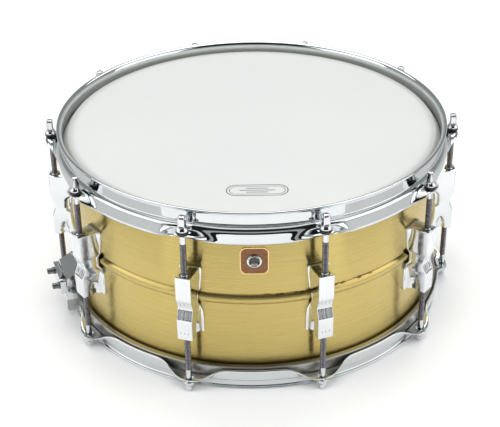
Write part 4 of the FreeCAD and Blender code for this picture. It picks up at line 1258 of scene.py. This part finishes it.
def soft_light(name, place, target, size, power, seen_in_metal=True):
    """An area light that faces its target."""
    data = bpy.data.lights.new(name, "AREA")
    data.shape = "RECTANGLE"
    data.size, data.size_y = size
    data.energy = power
    light = add_object(name, data)
    light.location = place
    light.rotation_mode = "QUATERNION"
    light.rotation_quaternion = (Vector(target) - Vector(place)).to_track_quat("-Z", "Y")
    light.visible_glossy = seen_in_metal


SKY = (  # elevation in degrees, tone all round, tone in front
    (-90.0, 0.90, 0.90), (-1.0, 0.80, 0.50), (1.0, 0.62, 0.45), (14.0, 0.62, 0.42), (20.0, 0.34, 0.02),
    (54.0, 0.26, 0.02), (64.0, 1.1, 0.03), (90.0, 1.2, 0.2),
)


def build_world():
    """A white studio with a grey wall low down, and a dark gap above the wall on the front side."""
    world = bpy.data.worlds.new("studio")
    world.use_nodes = True
    studio = Nodes(world.node_tree)
    direction = studio.node("TexCoord", output="Generated")
    ahead = studio.node("SeparateXYZ", {0: direction}, output=1)
    up = studio.node("SeparateXYZ", {0: direction}, output=2)
    half_up = studio.node("Math", {0: up, 1: 0.5, 2: 0.5}, operation="MULTIPLY_ADD")
    skies = []
    for column in (1, 2):
        stops = []
        for stop in SKY:
            tone = stop[column]
            height = (math.sin(math.radians(stop[0])) + 1.0) / 2
            stops.append((height, (tone * 0.965, tone, tone * 0.99)))
        skies.append(studio.ramp(half_up, stops))
    sky = studio.mix(studio.between(ahead, -0.12, -0.50), *skies)
    studio.give(studio.tree.nodes["Background"].inputs["Color"], sky)
    bpy.context.scene.world = world


def build_camera():
    """A long lens in front of the drum, raised and looking at a point inside it."""
    elevation, azimuth, roll = math.radians(30.545), math.radians(-0.281), math.radians(-0.713)
    distance = 1.200
    aim = Vector((0.0, 0.0, 0.0747))
    back = Vector((math.sin(azimuth) * math.cos(elevation), -math.cos(azimuth) * math.cos(elevation),
                   math.sin(elevation)))
    data = bpy.data.cameras.new("camera")
    data.sensor_width = 36.0
    data.lens = 86.4
    data.shift_x = -0.0055
    camera = add_object("camera", data)
    camera.location = aim + back * distance
    camera.rotation_mode = "QUATERNION"
    camera.rotation_quaternion = (-back).to_track_quat("-Z", "Y") @ Quaternion((0.0, 0.0, 1.0), roll)
    bpy.context.scene.camera = camera


build_shell()
build_badge()
build_vent()
build_lugs()
build_nuts()
build_rods()
build_rod_washers("top_rod_washers", nylon, "black_nylon", 5.45)
build_rod_washers("bottom_rod_washers", rod_chrome, "chrome_rods", 5.2)
build_rims()
build_head("batter_head", "batter_film", 1, coating, "coated_film")
build_head("snare_head", "snare_side_film", -1, snare_film, "snare_film")
build_flesh_hoop("batter_flesh_hoop", "batter_hoop", True)
build_flesh_hoop("snare_flesh_hoop", "snare_hoop", False)
build_print()
build_snares()
build_straps()
build_fittings()
build_clamp_screws()
build_knob()
build_pin()
dress_plain_nodes()

build_floor()
reflected_card("table_edge", 620.0, 2400.0, -38.0, 38.0, 0.4, 0.01)
for side, start, end in (("left", -150.0, -44.0), ("right", 44.0, 150.0)):
    reflected_card(f"table_{side}", 385.0, 2400.0, start, end, 0.3, 0.58)
soft_light("ceiling_light", (0.0, 0.9, 1.8), (0.0, 0.0, 0.1), (2.0, 1.2), 20.0)
soft_light("front_fill", (0.0, -1.0, 1.5), (0.0, -0.2, 0.0), (2.0, 1.2), 17.0, False)
soft_light("left_light", (-1.7, -0.6, 1.0), (0.0, 0.0, 0.1), (1.8, 1.6), 12.0)
soft_light("right_light", (1.7, -0.6, 1.0), (0.0, 0.0, 0.1), (1.8, 1.6), 12.0)
build_world()
build_camera()
bpy.context.scene.view_settings.view_transform = "Standard"
